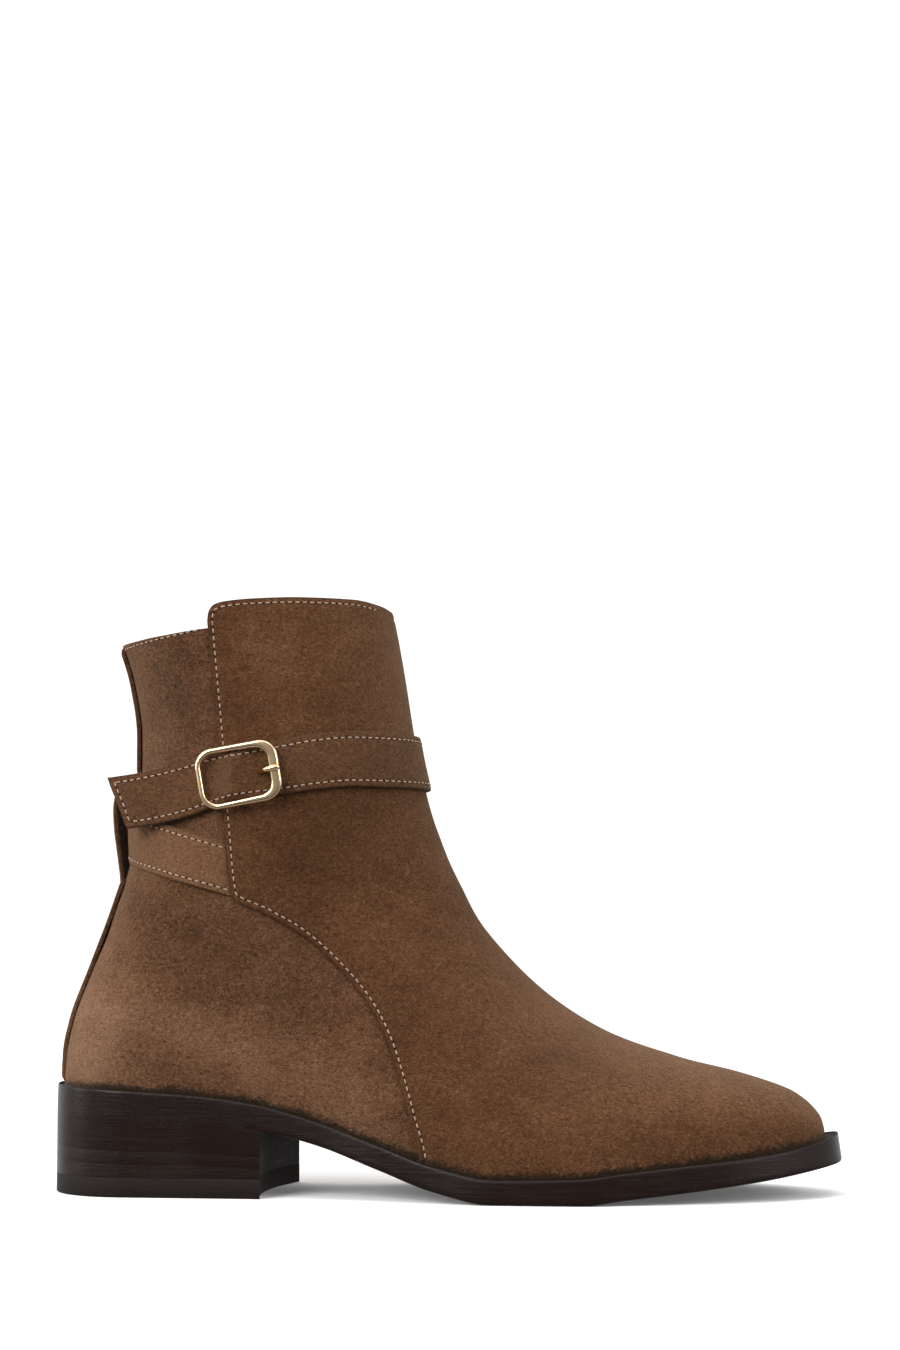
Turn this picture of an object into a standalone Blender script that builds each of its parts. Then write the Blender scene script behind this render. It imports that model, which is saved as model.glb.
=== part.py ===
"""A right ankle boot in suede with a wrap strap and buckle.

Sizes are in millimetres and become metres in add_solid. X runs to the toe, Y to the inner side, Z up, floor at 0.
"""

import math

import bpy
import numpy as np
from mathutils import Vector
from mathutils.bvhtree import BVHTree

MM = 0.001
GAP = 0.3

# Sole: half outline each side of y = 0, top of the rim, tread and width of the rim left clear of the upper
SOLE_COLUMNS = ("x", "lateral", "medial", "top", "tread", "rim")
SOLE_ROWS = (
    (-132.5, 29.3, 29.3, 36.0, 27.2, 0.0),
    (-104.0, 29.6, 29.4, 34.9, 26.2, 1.5),
    (-80.0, 29.9, 28.2, 33.4, 24.9, 1.6),
    (-60.0, 30.6, 26.4, 30.7, 22.4, 2.2),
    (-40.0, 32.4, 25.2, 25.4, 17.6, 2.8),
    (-20.0, 36.0, 26.8, 18.4, 10.4, 3.5),
    (0.0, 40.8, 31.8, 11.7, 3.4, 4.4),
    (20.0, 44.0, 38.6, 8.1, -0.3, 4.1),
    (45.0, 44.3, 44.3, 8.5, -0.3, 4.1),
    (62.0, 41.9, 44.2, 10.4, 1.7, 4.2),
    (80.0, 37.6, 41.6, 12.3, 3.6, 4.2),
    (95.0, 33.2, 37.6, 13.7, 5.4, 3.9),
    (110.0, 28.0, 33.2, 15.6, 7.4, 3.3),
    (121.0, 24.0, 29.4, 17.6, 9.2, 2.2),
    (132.5, 19.5, 25.0, 20.7, 11.2, 0.0),
)
SOLE_BACK, SOLE_TOE = -132.5, 132.5
HEEL_ROUND_FROM, HEEL_ROUND_POWER = -104.0, 2.2
TOE_ROUND_FROM, TOE_ROUND_POWER = 88.0, 2.8
RIM_LIP, LIP_LEAST, LIP_SHARE = 0.6, 0.2, 0.18
EDGE_ROUND = 1.0
TOE_FLARE, SIDE_FLARE = 1.0, 0.2

# Heel
HEEL_BREAST_LATERAL, HEEL_BREAST_MEDIAL, HEEL_BREAST_HOLLOW = -58.9, -53.6, 4.0
TOP_PIECE_THICK = 6.4
HEEL_INSET, HEEL_END_HALF = 0.25, 0.3
HEEL_ROWS, HEEL_COLUMNS = 15, 9

# Upper: sections fan from the toe, over the instep, to the level collar
UPPER_BACK, UPPER_TOE = -130.9, 125.8
WALL, PANEL_STEP = 1.7, 1.1
FOOT_COLUMNS = ("low_x", "top_x", "top_z", "ridge_y", "lateral", "medial", "belly", "low_power", "top_power")
FOOT_ROWS = (
    (125.75, 125.7, 21.6, 3.0, 0.0, 0.0, 0.46, 2.2, 2.2),
    (125.0, 124.8, 24.8, 3.1, 0.0, 0.0, 0.45, 2.2, 2.2),
    (122.6, 122.2, 28.3, 3.2, 0.0, 0.0, 0.42, 2.2, 2.2),
    (117.0, 116.2, 32.9, 3.6, 0.0, 0.0, 0.38, 2.2, 2.2),
    (101.0, 99.0, 38.9, 4.6, 0.0, 0.0, 0.32, 2.1, 2.1),
    (80.0, 77.0, 44.1, 5.6, 0.0, 0.0, 0.28, 2.0, 2.0),
    (51.0, 55.0, 51.6, 6.0, 41.4, 41.0, 0.25, 1.9, 1.9),
    (20.0, 34.5, 64.1, 5.2, 39.4, 38.4, 0.24, 1.8, 1.8),
    (-12.0, 19.4, 78.2, 4.0, 34.6, 33.2, 0.26, 1.8, 1.8),
    (-48.0, 9.2, 91.0, 2.6, 31.6, 30.4, 0.30, 1.6, 1.85),
    (-85.0, 3.6, 102.0, 1.6, 31.0, 30.4, 0.34, 1.3, 1.95),
    (-117.0, -0.4, 111.0, 1.0, 31.6, 31.0, 0.38, 1.15, 2.05),
    (-130.8, -3.2, 118.4, 0.6, 32.3, 31.9, 0.40, 1.1, 2.1),
)
SHAFT_COLUMNS = ("back_x", "back_z", "front_x", "front_z", "half_width", "belly", "top_power", "low_half", "reach")
SHAFT_ROWS = (
    (-130.4, 46.0, -5.2, 124.0, 32.8, 0.41, 2.1, 29.6, 29.0),
    (-128.0, 57.5, -7.0, 130.0, 33.3, 0.42, 2.1, 30.6, 31.0),
    (-121.3, 75.0, -9.0, 138.0, 33.8, 0.44, 2.1, 32.2, 34.0),
    (-113.4, 96.0, -10.8, 146.0, 33.9, 0.45, 2.1, 33.3, 37.0),
    (-107.8, 115.0, -12.0, 152.5, 33.6, 0.45, 2.1, 33.6, 39.0),
    (-105.5, 135.0, -13.4, 161.0, 33.2, 0.45, 2.1, 33.2, 40.0),
    (-105.5, 153.0, -15.1, 172.0, 33.3, 0.45, 2.1, 33.3, 40.0),
    (-107.8, 170.0, -17.2, 184.0, 33.8, 0.45, 2.1, 33.8, 40.0),
    (-112.6, 186.0, -19.7, 197.0, 34.3, 0.45, 2.1, 34.3, 41.0),
    (-118.0, 204.0, -22.0, 212.0, 34.8, 0.45, 2.1, 34.8, 41.0),
)
SHAFT_LOW_POWER = 1.1
SECTION_COLUMNS = ("low_x", "low_z", "top_x", "top_z", "ridge_y", "lateral", "medial", "belly")
SECTION_COLUMNS += ("low_power", "top_power", "low_half")
SECTION_STEPS, MORE_STEPS = 2, {0: 1, 1: 1, 11: 3}
FIRST_REAR = 9
BACK_SHARES, BODY_POINTS = (0.0, 0.05, 0.18, 0.38, 0.66), 14
SKIRT = 7.0
FEATHER_LEAST, FEATHER_LIFT = 0.4, 0.45

# Edge of the front panel, from the sole up to the collar and along it, in side view
PANEL_EDGE = (
    (-3.0, 6.0),
    (-3.6, 14.7),
    (-6.9, 26.0),
    (-10.8, 38.9),
    (-15.4, 50.9),
    (-21.8, 61.9),
    (-31.3, 73.3),
    (-44.6, 85.7),
    (-56.2, 92.8),
    (-68.2, 99.1),
    (-70.6, 121.1),
    (-73.1, 150.9),
    (-74.9, 170.8),
    (-76.6, 190.5),
    (-76.2, 193.6),
    (-74.2, 196.0),
    (-70.9, 197.0),
    (-61.5, 197.9),
    (-45.4, 198.5),
    (-30.0, 198.2),
    (-22.0, 196.6),
    (-16.0, 193.6),
    (10.0, 188.0),
)
BACK_COLLAR = ((-140.0, 181.0), (-105.2, 184.6), (-93.3, 186.4), (-75.6, 188.8))
LINING_DROP, LINING_CORNER = 0.4, (-75.2, 195.4)
TRIM_LONG, TRIM_WIDE = 150.0, 80.0
SEAM_WIDTH, SEAM_PROUD = 2.4, 0.9
SEAM_SPANS = ((40.0, 102.0), (142.0, 184.0))

# Strap: turns about the shaft's axis, 180 at the back and -90 at the outer side, and height of its middle
STRAP_AXIS_X = -60.0
STRAP_COLUMNS = ("turn", "height", "width", "over_panel", "lean")
STRAP_ROWS = (
    (253.6, 108.3, 18.0, 0.0, 0.0),
    (236.0, 111.8, 17.6, 0.0, 0.2),
    (215.0, 116.0, 17.4, 0.0, 1.2),
    (180.0, 120.6, 17.2, 0.0, 2.4),
    (135.0, 126.0, 17.2, 0.0, 1.2),
    (112.0, 129.6, 17.4, 1.0, 0.0),
    (90.0, 133.4, 17.6, 1.0, 0.0),
    (45.0, 139.8, 17.6, 1.0, 0.0),
    (0.0, 143.8, 17.6, 1.0, 0.0),
    (-40.0, 144.5, 18.2, 1.0, 0.0),
    (-58.0, 143.6, 18.2, 1.0, 0.0),
    (-75.0, 141.6, 17.6, 1.0, 0.0),
    (-90.0, 139.9, 16.2, 1.0, 0.0),
    (-101.0, 138.5, 15.4, 1.0, 0.0),
    (-110.0, 137.4, 16.2, 1.0, 0.0),
    (-121.0, 135.7, 18.4, 1.0, 0.0),
)
STRAP_THICK, STRAP_SKIVED = 1.4, 0.9
STRAP_GAP, STRAP_START_LEAN = 0.75, 3.0
STRAP_STATIONS = 74
TIP_LENGTH, TIP_SLANT, TIP_DROP = 28.4, 7.7, 5.4
TIP_STATIONS = 5

# Buckle: frame in a plane beside the outer side of the shaft, out from the axis and level over a span of turns
BUCKLE_X, BUCKLE_Z, BUCKLE_TILT = -64.6, 138.6, 10.0
BUCKLE_LONG, BUCKLE_HIGH, BUCKLE_CORNER = 27.6, 21.0, 6.2
BUCKLE_OUT, BUCKLE_SPAN = 34.0, 18.0
BUCKLE_WIRE = 2.2
BUCKLE_BAR_X, BUCKLE_BAR_WIRE = -2.0, 1.6
BUCKLE_RISE, BUCKLE_BAR_DROP = 1.8, 2.4
BAR_INTO, BAR_SHOULDER = 0.2, 0.9
BAR_HUMP, BAR_HUMP_REACH = 2.6, 7.0
PRONG_WIRE, PRONG_TIP = 2.0, 1.6
PRONG_THROUGH = ((1.4, -0.6), (3.6, 1.3))
PRONG_OVER_FRAME = ((-2.0, 0.5), (0.9, 0.3))
SLOT_AHEAD, SLOT_BACK = 2.4, 1.6
SLOT_LONG, SLOT_WIDE = 6.4, 3.0
SLOT_INWARD, SLOT_OUTWARD = -9.0, 6.0

# Loop at the centre back: outer face in side view, from the top down
LOOP_PATH = (
    (-107.2, 140.4),
    (-110.4, 139.2),
    (-113.6, 134.0),
    (-114.4, 128.5),
    (-114.0, 121.5),
    (-113.1, 115.0),
    (-112.3, 110.0),
    (-111.9, 106.2),
)
LOOP_WIDTH, LOOP_THICK = 15.0, 1.2

INSOLE_THICK, INSOLE_CLEAR = 2.4, 2.2

SUEDE = ("suede", (0.17, 0.085, 0.045), 0.95, 0.0)
SOLE_LEATHER = ("sole_leather", (0.016, 0.012, 0.010), 0.42, 0.0)
TOP_RUBBER = ("top_rubber", (0.035, 0.018, 0.014), 0.6, 0.0)
BOARD = ("insole_leather", (0.36, 0.24, 0.15), 0.7, 0.0)
GOLD = ("pale_gold", (0.80, 0.58, 0.36), 0.2, 1.0)


def curve(xs, ys):
    """A smooth function through the points that never overshoots them."""
    xs, ys = np.asarray(xs, float), np.asarray(ys, float)
    rise = np.diff(ys) / np.diff(xs)
    slope = np.zeros(len(xs))
    slope[0], slope[-1] = rise[0], rise[-1]
    same = rise[:-1] * rise[1:] > 0
    slope[1:-1][same] = 2 * rise[:-1][same] * rise[1:][same] / (rise[:-1][same] + rise[1:][same])

    def value(x):
        x = np.clip(x, xs[0], xs[-1])
        i = np.clip(np.searchsorted(xs, x, side="right") - 1, 0, len(xs) - 2)
        h = xs[i + 1] - xs[i]
        t = (x - xs[i]) / h
        return (
            ys[i] * (1 + 2 * t) * (1 - t) ** 2
            + h * slope[i] * t * (1 - t) ** 2
            + ys[i + 1] * t * t * (3 - 2 * t)
            - h * slope[i + 1] * t * t * (1 - t)
        )

    return value


def table_curves(columns, rows):
    """For each column of a table, by its name, a smooth function of the first column."""
    table = np.array(sorted(rows))
    return {name: curve(table[:, 0], table[:, c]) for c, name in enumerate(columns)}


SOLE = table_curves(SOLE_COLUMNS, SOLE_ROWS)
STRAP = table_curves(STRAP_COLUMNS, STRAP_ROWS)


def sole_middle(x):
    return (SOLE["medial"](x) - SOLE["lateral"](x)) / 2


def end_round(x):
    """1 along the sole, falling to 0 at its two rounded ends."""
    back = np.clip((HEEL_ROUND_FROM - x) / (HEEL_ROUND_FROM - SOLE_BACK), 0, 1)
    toe = np.clip((x - TOE_ROUND_FROM) / (SOLE_TOE - TOE_ROUND_FROM), 0, 1)
    heel = (1 - back**HEEL_ROUND_POWER) ** (1 / HEEL_ROUND_POWER)
    return heel * (1 - toe**TOE_ROUND_POWER) ** (1 / TOE_ROUND_POWER)


def sole_half(x):
    return (SOLE["medial"](x) + SOLE["lateral"](x)) / 2 * end_round(x)


def tread(x):
    """Underside of the sole, with its flat spot on the floor."""
    return np.maximum(SOLE["tread"](x), 0.0)


def seat(x):
    """Where the upper and the insole stand on the sole."""
    return SOLE["top"](x) - RIM_LIP


def sole_x_of(x):
    """The place along the sole that matches x along the bottom of the upper."""
    return SOLE_BACK + (x - UPPER_BACK) * (SOLE_TOE - SOLE_BACK) / (UPPER_TOE - UPPER_BACK)


def feather_half(x):
    """Half width of the upper where it meets the sole."""
    at = sole_x_of(x)
    return np.maximum(sole_half(at) - SOLE["rim"](at), FEATHER_LEAST)


def end_spaced(start, stop, count):
    """Numbers from start to stop, closer at both ends."""
    turn = np.linspace(0, math.pi, count)
    return start + (stop - start) * (1 - np.cos(turn)) / 2


def add_material(name, colour, roughness, metallic):
    material = bpy.data.materials.get(name)
    if material:
        return material
    material = bpy.data.materials.new(name)
    material.use_nodes = True
    shader = material.node_tree.nodes["Principled BSDF"]
    shader.inputs["Base Color"].default_value = (*colour, 1.0)
    shader.inputs["Roughness"].default_value = roughness
    shader.inputs["Metallic"].default_value = metallic
    return material


def add_solid(name, points, faces, finish):
    """A mesh object from points in millimetres."""
    mesh = bpy.data.meshes.new(name)
    mesh.from_pydata([tuple(float(v) * MM for v in point) for point in points], [], faces)
    mesh.validate()
    solid = bpy.data.objects.new(name, mesh)
    bpy.context.scene.collection.objects.link(solid)
    mesh.materials.append(add_material(*finish))
    return solid


def as_cutter(solid):
    solid.hide_render = True
    solid.display_type = "WIRE"
    return solid


def combine(solid, other, operation):
    """Joins, cuts or trims a solid by another, which becomes a helper."""
    modifier = solid.modifiers.new(f"{operation.lower()} {other.name}", "BOOLEAN")
    modifier.operation = operation
    modifier.object = as_cutter(other)
    modifier.solver = "EXACT"


def prism(name, outline, y_from, y_to):
    """A side-view outline, in either order, as a solid across the boot."""
    count = len(outline)
    points = [(x, y_from, z) for x, z in outline] + [(x, y_to, z) for x, z in outline]
    faces = [tuple(range(count)), tuple(range(2 * count - 1, count - 1, -1))]
    for i in range(count):
        j = (i + 1) % count
        faces.append((j, i, i + count, j + count))
    area = sum(
        outline[i][0] * outline[(i + 1) % count][1] - outline[(i + 1) % count][0] * outline[i][1]
        for i in range(count)
    )
    if area < 0:
        faces = [face[::-1] for face in faces]
    return add_solid(name, points, faces, SUEDE)


def loop_offset(loop, inward):
    """A closed outline in plan moved inward, by one distance or one for each point."""
    ahead, behind = np.roll(loop, -1, axis=0), np.roll(loop, 1, axis=0)
    along = ahead - behind
    along /= np.linalg.norm(along, axis=1)[:, None]
    normal = np.stack([-along[:, 1], along[:, 0]], axis=1)
    return loop + normal * np.broadcast_to(inward, len(loop))[:, None]


def plan_loop(xs, half, middle):
    """Outer side from back to toe, then the inner side from toe to back."""
    lateral = [(x, middle(x) - half(x)) for x in xs]
    medial = [(x, middle(x) + half(x)) for x in xs[-2:0:-1]]
    return np.array(lateral + medial)


def layered_solid(name, layers, finish):
    """A solid from loops stacked bottom to top, closed by strips between the matching points of the two sides."""
    count = len(layers[0])
    half = count // 2
    points = np.concatenate(layers)
    faces = []
    for k in range(len(layers) - 1):
        low, high = k * count, (k + 1) * count
        for i in range(count):
            j = (i + 1) % count
            faces.append((low + i, low + j, high + j, high + i))
    for start, up in ((0, False), ((len(layers) - 1) * count, True)):
        for i in range(half):
            ring = [i, i + 1, (count - i - 1) % count, (count - i) % count]
            face = [start + v for v in dict.fromkeys(ring)]
            faces.append(tuple(face if up else face[::-1]))
    return add_solid(name, points, faces, finish)


def build_outsole():
    xs = end_spaced(SOLE_BACK, SOLE_TOE, 43)
    loop = plan_loop(xs, sole_half, sole_middle)
    toe = np.clip((loop[:, 0] - TOE_ROUND_FROM) / (SOLE_TOE - TOE_ROUND_FROM), 0, 1)
    flare = SIDE_FLARE + (TOE_FLARE - SIDE_FLARE) * toe
    lip = flare + LIP_LEAST + LIP_SHARE * SOLE["rim"](loop[:, 0])
    top = SOLE["top"]
    steps = (
        (EDGE_ROUND, tread, 0.0),
        (0.25 * EDGE_ROUND, tread, 0.3 * EDGE_ROUND),
        (0.0, tread, EDGE_ROUND),
        (flare, top, -EDGE_ROUND),
        (flare + 0.3 * lip, top, -0.25 * EDGE_ROUND),
        (lip, top, 0.0),
        (lip + 0.3, top, -RIM_LIP),
    )
    layers = []
    for inward, height, rise in steps:
        ring = loop_offset(loop, inward)
        layers.append(np.column_stack([ring, height(ring[:, 0]) + rise]))
    return layered_solid("outsole", layers, SOLE_LEATHER)


def build_insole():
    xs = end_spaced(UPPER_BACK + 0.1, UPPER_TOE - 0.1, 35)
    loop = plan_loop(xs, feather_half, lambda x: sole_middle(sole_x_of(x)))
    loop = loop_offset(loop, WALL + INSOLE_CLEAR)
    low = seat(loop[:, 0]) + 1.5 * GAP
    layers = [np.column_stack([loop, low]), np.column_stack([loop, low + INSOLE_THICK])]
    return layered_solid("insole", layers, BOARD)


def build_heel():
    """Heel stack and top piece: the back of the sole's outline closed by a hollow breast."""
    along = 1 - np.cos(np.linspace(0, math.pi / 2, HEEL_ROWS))
    across = np.linspace(-1, 1, HEEL_COLUMNS)
    rows = []
    for s in along:
        row = []
        for t in across:
            breast = (HEEL_BREAST_LATERAL + HEEL_BREAST_MEDIAL) / 2
            breast += t * (HEEL_BREAST_MEDIAL - HEEL_BREAST_LATERAL) / 2 - HEEL_BREAST_HOLLOW * (1 - t * t)
            x = SOLE_BACK + HEEL_INSET + s * (breast - SOLE_BACK - HEEL_INSET)
            half = max(sole_half(x) - HEEL_INSET, HEEL_END_HALF)
            row.append((x, sole_middle(x) + t * half))
        rows.append(row)
    grid = np.array(rows)
    n, m = grid.shape[:2]
    flat = grid.reshape(-1, 2)

    def slab(name, low, high, finish):
        points = np.concatenate([np.column_stack([flat, low]), np.column_stack([flat, high])])
        up = n * m
        faces = []
        for i in range(n - 1):
            for j in range(m - 1):
                quad = (i * m + j, (i + 1) * m + j, (i + 1) * m + j + 1, i * m + j + 1)
                faces.append(tuple(v + up for v in quad))
                faces.append(quad[::-1])
        edge = [i * m for i in range(n)] + [(n - 1) * m + j for j in range(1, m)]
        edge += [i * m + m - 1 for i in range(n - 2, -1, -1)] + [j for j in range(m - 2, 0, -1)]
        for i, a in enumerate(edge):
            b = edge[(i + 1) % len(edge)]
            faces.append((a, b, b + up, a + up))
        return add_solid(name, points, faces, finish)

    level = np.full(len(flat), TOP_PIECE_THICK)
    slab("heel_stack", level, tread(flat[:, 0]) - 1.3 * GAP, SOLE_LEATHER)
    slab("heel_top_piece", 0 * level, level - GAP, TOP_RUBBER)


def back_shape():
    """The upper's centre back in side view and how far its rounding reaches forward, as functions of height."""
    heel_reach = (HEEL_ROUND_FROM - SOLE_BACK) * (UPPER_TOE - UPPER_BACK) / (SOLE_TOE - SOLE_BACK)
    rows = [(UPPER_BACK, float(seat(UPPER_BACK)), heel_reach)]
    for row in SHAFT_ROWS:
        shaft = dict(zip(SHAFT_COLUMNS, row))
        rows.append((shaft["back_x"], shaft["back_z"], shaft["reach"]))
    places, heights, reaches = np.array(rows).T
    return curve(heights, places), curve(heights, reaches)


back_line, back_reach = back_shape()


def back_round(x, z):
    """1 along the sides of the upper, falling to 0 at its centre back."""
    far = np.clip(1 - (x - back_line(z)) / back_reach(z), 0, 1)
    return (1 - far**HEEL_ROUND_POWER) ** (1 / HEEL_ROUND_POWER)


def straight_half(x):
    """Half width of the upper at the sole as it would be without the rounding of the heel."""
    return feather_half(x) / back_round(x, seat(x))


def section_table():
    """The rows of foot and shaft in one table of smooth functions of the row number, in the order of SECTION_COLUMNS."""
    rows = []
    for row in FOOT_ROWS:
        foot = dict(zip(FOOT_COLUMNS, row))
        foot["low_z"], foot["low_half"] = seat(foot["low_x"]), straight_half(foot["low_x"])
        rows.append([foot[name] for name in SECTION_COLUMNS])
    for row in SHAFT_ROWS:
        shaft = dict(zip(SHAFT_COLUMNS, row), low_power=SHAFT_LOW_POWER, ridge_y=0.0)
        shaft["low_x"], shaft["low_z"] = shaft["back_x"], shaft["back_z"]
        shaft["top_x"], shaft["top_z"] = shaft["front_x"], shaft["front_z"]
        shaft["lateral"] = shaft["medial"] = shaft["half_width"]
        rows.append([shaft[name] for name in SECTION_COLUMNS])
    return [curve(range(len(rows)), column) for column in np.array(rows).T]


SECTION = section_table()
LAST_FOOT = len(FOOT_ROWS) - 1


def half_section(k, side):
    """Points of one side of section k, up to the ridge.

    They start at the centre back, which rear sections of the foot reach below the sole, or down a skirt below it.
    """
    low_x, low_z, top_x, top_z, ridge_y, lateral, medial, belly, low, high, low_half = (f(k) for f in SECTION)
    if k <= LAST_FOOT:
        low_z, low_half = seat(low_x), straight_half(low_x)
    low_y = sole_middle(sole_x_of(low_x)) * np.clip(LAST_FOOT + 1 - k, 0, 1)
    widest = max(lateral if side < 0 else medial, low_half + 0.8)

    def place(v):
        x, z = low_x + v * (top_x - low_x), low_z + v * (top_z - low_z)
        if v < belly:
            share = (1 - (1 - max(v, 0.0) / belly) ** low) ** (1 / low)
            half = low_half + (widest - low_half) * share
        else:
            half = widest * max(1 - ((v - belly) / (1 - belly)) ** high, 0.0) ** (1 / high)
        middle = low_y + v * (ridge_y - low_y)
        return x, middle + side * half * back_round(x, z), z

    if k < FIRST_REAR:
        start = 0.0
        points = [(low_x, low_y + side * feather_half(low_x), low_z - SKIRT * (1 - share)) for share in BACK_SHARES]
    else:
        back = (UPPER_BACK - low_x) / (top_x - low_x) if k <= LAST_FOOT else 0.0
        reach = back_reach(low_z + back * (top_z - low_z)) / (top_x - low_x)
        start = max(back + reach, 0.0)
        points = [place(back + share * reach) for share in BACK_SHARES]
        points[0] = (points[0][0], 0.0, points[0][2])
    return points + [place(v) for v in end_spaced(start, 1.0, BODY_POINTS)]


def upper_form():
    """The last's outer form as a closed mesh: points, faces and the outward direction at each point."""
    last = len(FOOT_ROWS) + len(SHAFT_ROWS) - 1
    ks = [row + np.arange(steps) / steps for row in range(last) for steps in [MORE_STEPS.get(row, SECTION_STEPS)]]
    ks = np.append(np.concatenate(ks), last)
    points, rings = [], []
    for k in ks:
        lateral, medial = half_section(k, -1.0), half_section(k, 1.0)
        section = lateral + medial[-2::-1]
        closed = k >= FIRST_REAR
        if closed:
            section.pop()
        ring = list(range(len(points), len(points) + len(section)))
        points += section
        rings.append(ring + [ring[0]] if closed else ring)
    faces = []
    for here, ahead in zip(rings, rings[1:]):
        for i in range(len(here) - 1):
            faces.append((here[i], here[i + 1], ahead[i + 1], ahead[i]))
        under = dict.fromkeys((here[0], ahead[0], ahead[-1], here[-1]))
        if len(under) > 2:
            faces.append(tuple(under))
    faces.append(tuple(rings[0][::-1]))
    faces.append(tuple(rings[-1][:-1]))
    points = np.array(points)
    mesh = bpy.data.meshes.new("form")
    mesh.from_pydata([tuple(p) for p in points], [], faces)
    outward = np.zeros(len(points) * 3)
    mesh.vertex_normals.foreach_get("vector", outward)
    bpy.data.meshes.remove(mesh)
    return points, faces, outward.reshape(-1, 3)


FORM_POINTS, FORM_FACES, FORM_OUTWARD = upper_form()


def form_solid(name, grow):
    """The upper's form grown or shrunk by a wall or a step."""
    return add_solid(name, FORM_POINTS + grow * FORM_OUTWARD, FORM_FACES, SUEDE)


def feather_line(lift):
    """The bottom edge of the upper in side view, from toe to heel."""
    return [(x, float(seat(x)) + lift) for x in np.linspace(TRIM_LONG, -TRIM_LONG, 76)]


def build_upper():
    base = form_solid("upper", 0.0)
    back_top = BACK_COLLAR[-1][1]
    high = [(x, z - LINING_DROP) for x, z in PANEL_EDGE if x > LINING_CORNER[0] and z > back_top]
    front = (TRIM_LONG, LINING_CORNER[1])
    outline = feather_line(FEATHER_LIFT) + list(BACK_COLLAR) + [LINING_CORNER] + high + [front]
    combine(base, prism("upper_trim", outline, -TRIM_WIDE, TRIM_WIDE), "INTERSECT")
    panel = form_solid("front_panel_form", PANEL_STEP)
    below = [point for point in feather_line(FEATHER_LIFT + GAP) if point[0] > PANEL_EDGE[1][0] + 1.0]
    outline = below + list(PANEL_EDGE[1:]) + [front]
    combine(panel, prism("front_panel_trim", outline, -TRIM_WIDE, TRIM_WIDE), "INTERSECT")
    combine(base, panel, "UNION")
    for low, high_z in SEAM_SPANS:
        heights = np.linspace(low, high_z, 12)
        band = [(back_line(z) - SEAM_PROUD, z) for z in heights] + [(back_line(z) + 1.0, z) for z in heights[::-1]]
        combine(base, prism(f"back_seam_{low:.0f}", band, -SEAM_WIDTH / 2, SEAM_WIDTH / 2), "UNION")
    combine(base, form_solid("upper_inside", -WALL), "DIFFERENCE")
    return base


def surface_at(tree, turn, height):
    """The point of the upper's form at a turn about the shaft's axis, and its level outward direction."""
    aim = Vector((math.cos(math.radians(turn)), math.sin(math.radians(turn)), 0.0))
    hit, normal, _, _ = tree.ray_cast(Vector((STRAP_AXIS_X, 0.0, height)), aim)
    flat = Vector((normal.x, normal.y, 0.0)).normalized()
    return np.array(hit), np.array(flat)


def bar_hump(x):
    """How far the strap stands up to pass over the buckle's bar."""
    bar = BUCKLE_X + BUCKLE_BAR_X
    near = max(0.0, 1 - abs(x - bar) / BAR_HUMP_REACH)
    return BAR_HUMP * near * near * (3 - 2 * near)


def build_strap(tree):
    """One band on the form, round the back, the inner side and the front to a free tip. Returns its outer face."""
    height, width, over, out = (STRAP[name] for name in STRAP_COLUMNS[1:])
    first, last = STRAP_ROWS[0][0], STRAP_ROWS[-1][0]
    turns = np.linspace(first, last, STRAP_STATIONS)
    across = (-0.5, 0.0, 0.5)
    inner, outer = [], []
    for i, turn in enumerate(turns):
        thick = STRAP_SKIVED + (STRAP_THICK - STRAP_SKIVED) * min(1.0, i / 5)
        row_in, row_out = [], []
        for a in across:
            lean = -STRAP_START_LEAN * a * max(0.0, 1 - i / 6)
            point, flat = surface_at(tree, turn + lean, float(height(turn) + a * width(turn)))
            lift = STRAP_GAP + PANEL_STEP * float(over(turn)) + (a + 0.5) * float(out(turn))
            if turn < 0:
                lift += bar_hump(point[0])
            row_in.append(point + flat * lift)
            row_out.append(point + flat * (lift + thick))
        inner.append(row_in)
        outer.append(row_out)
    along = inner[-1][1] - inner[-2][1]
    along[2] = 0.0
    along /= np.linalg.norm(along)
    end_in, end_out = inner[-1], outer[-1]
    for s in np.linspace(0, 1, TIP_STATIONS + 1)[1:]:
        step = along * TIP_LENGTH * s - np.array((0.0, 0.0, TIP_DROP * s * (3 - s) / 2))
        shift = [step * (1 + TIP_SLANT / TIP_LENGTH * a) for a in across]
        inner.append([p + d for p, d in zip(end_in, shift)])
        outer.append([p + d for p, d in zip(end_out, shift)])
    n, m = len(inner), len(across)
    points = np.concatenate([np.array(inner).reshape(-1, 3), np.array(outer).reshape(-1, 3)])
    up = n * m
    faces = []
    for i in range(n - 1):
        for j in range(m - 1):
            quad = (i * m + j, (i + 1) * m + j, (i + 1) * m + j + 1, i * m + j + 1)
            faces.append(quad)
            faces.append(tuple(v + up for v in quad[::-1]))
        a, b = i * m, (i + 1) * m
        faces.append((a, a + up, b + up, b))
        faces.append((b + m - 1, b + m - 1 + up, a + m - 1 + up, a + m - 1))
    for i, order in ((0, 1), (n - 1, -1)):
        for j in range(m - 1):
            a = i * m + j
            faces.append((a, a + 1, a + 1 + up, a + up)[::order])
    return add_solid("strap", points, faces, SUEDE)


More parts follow.
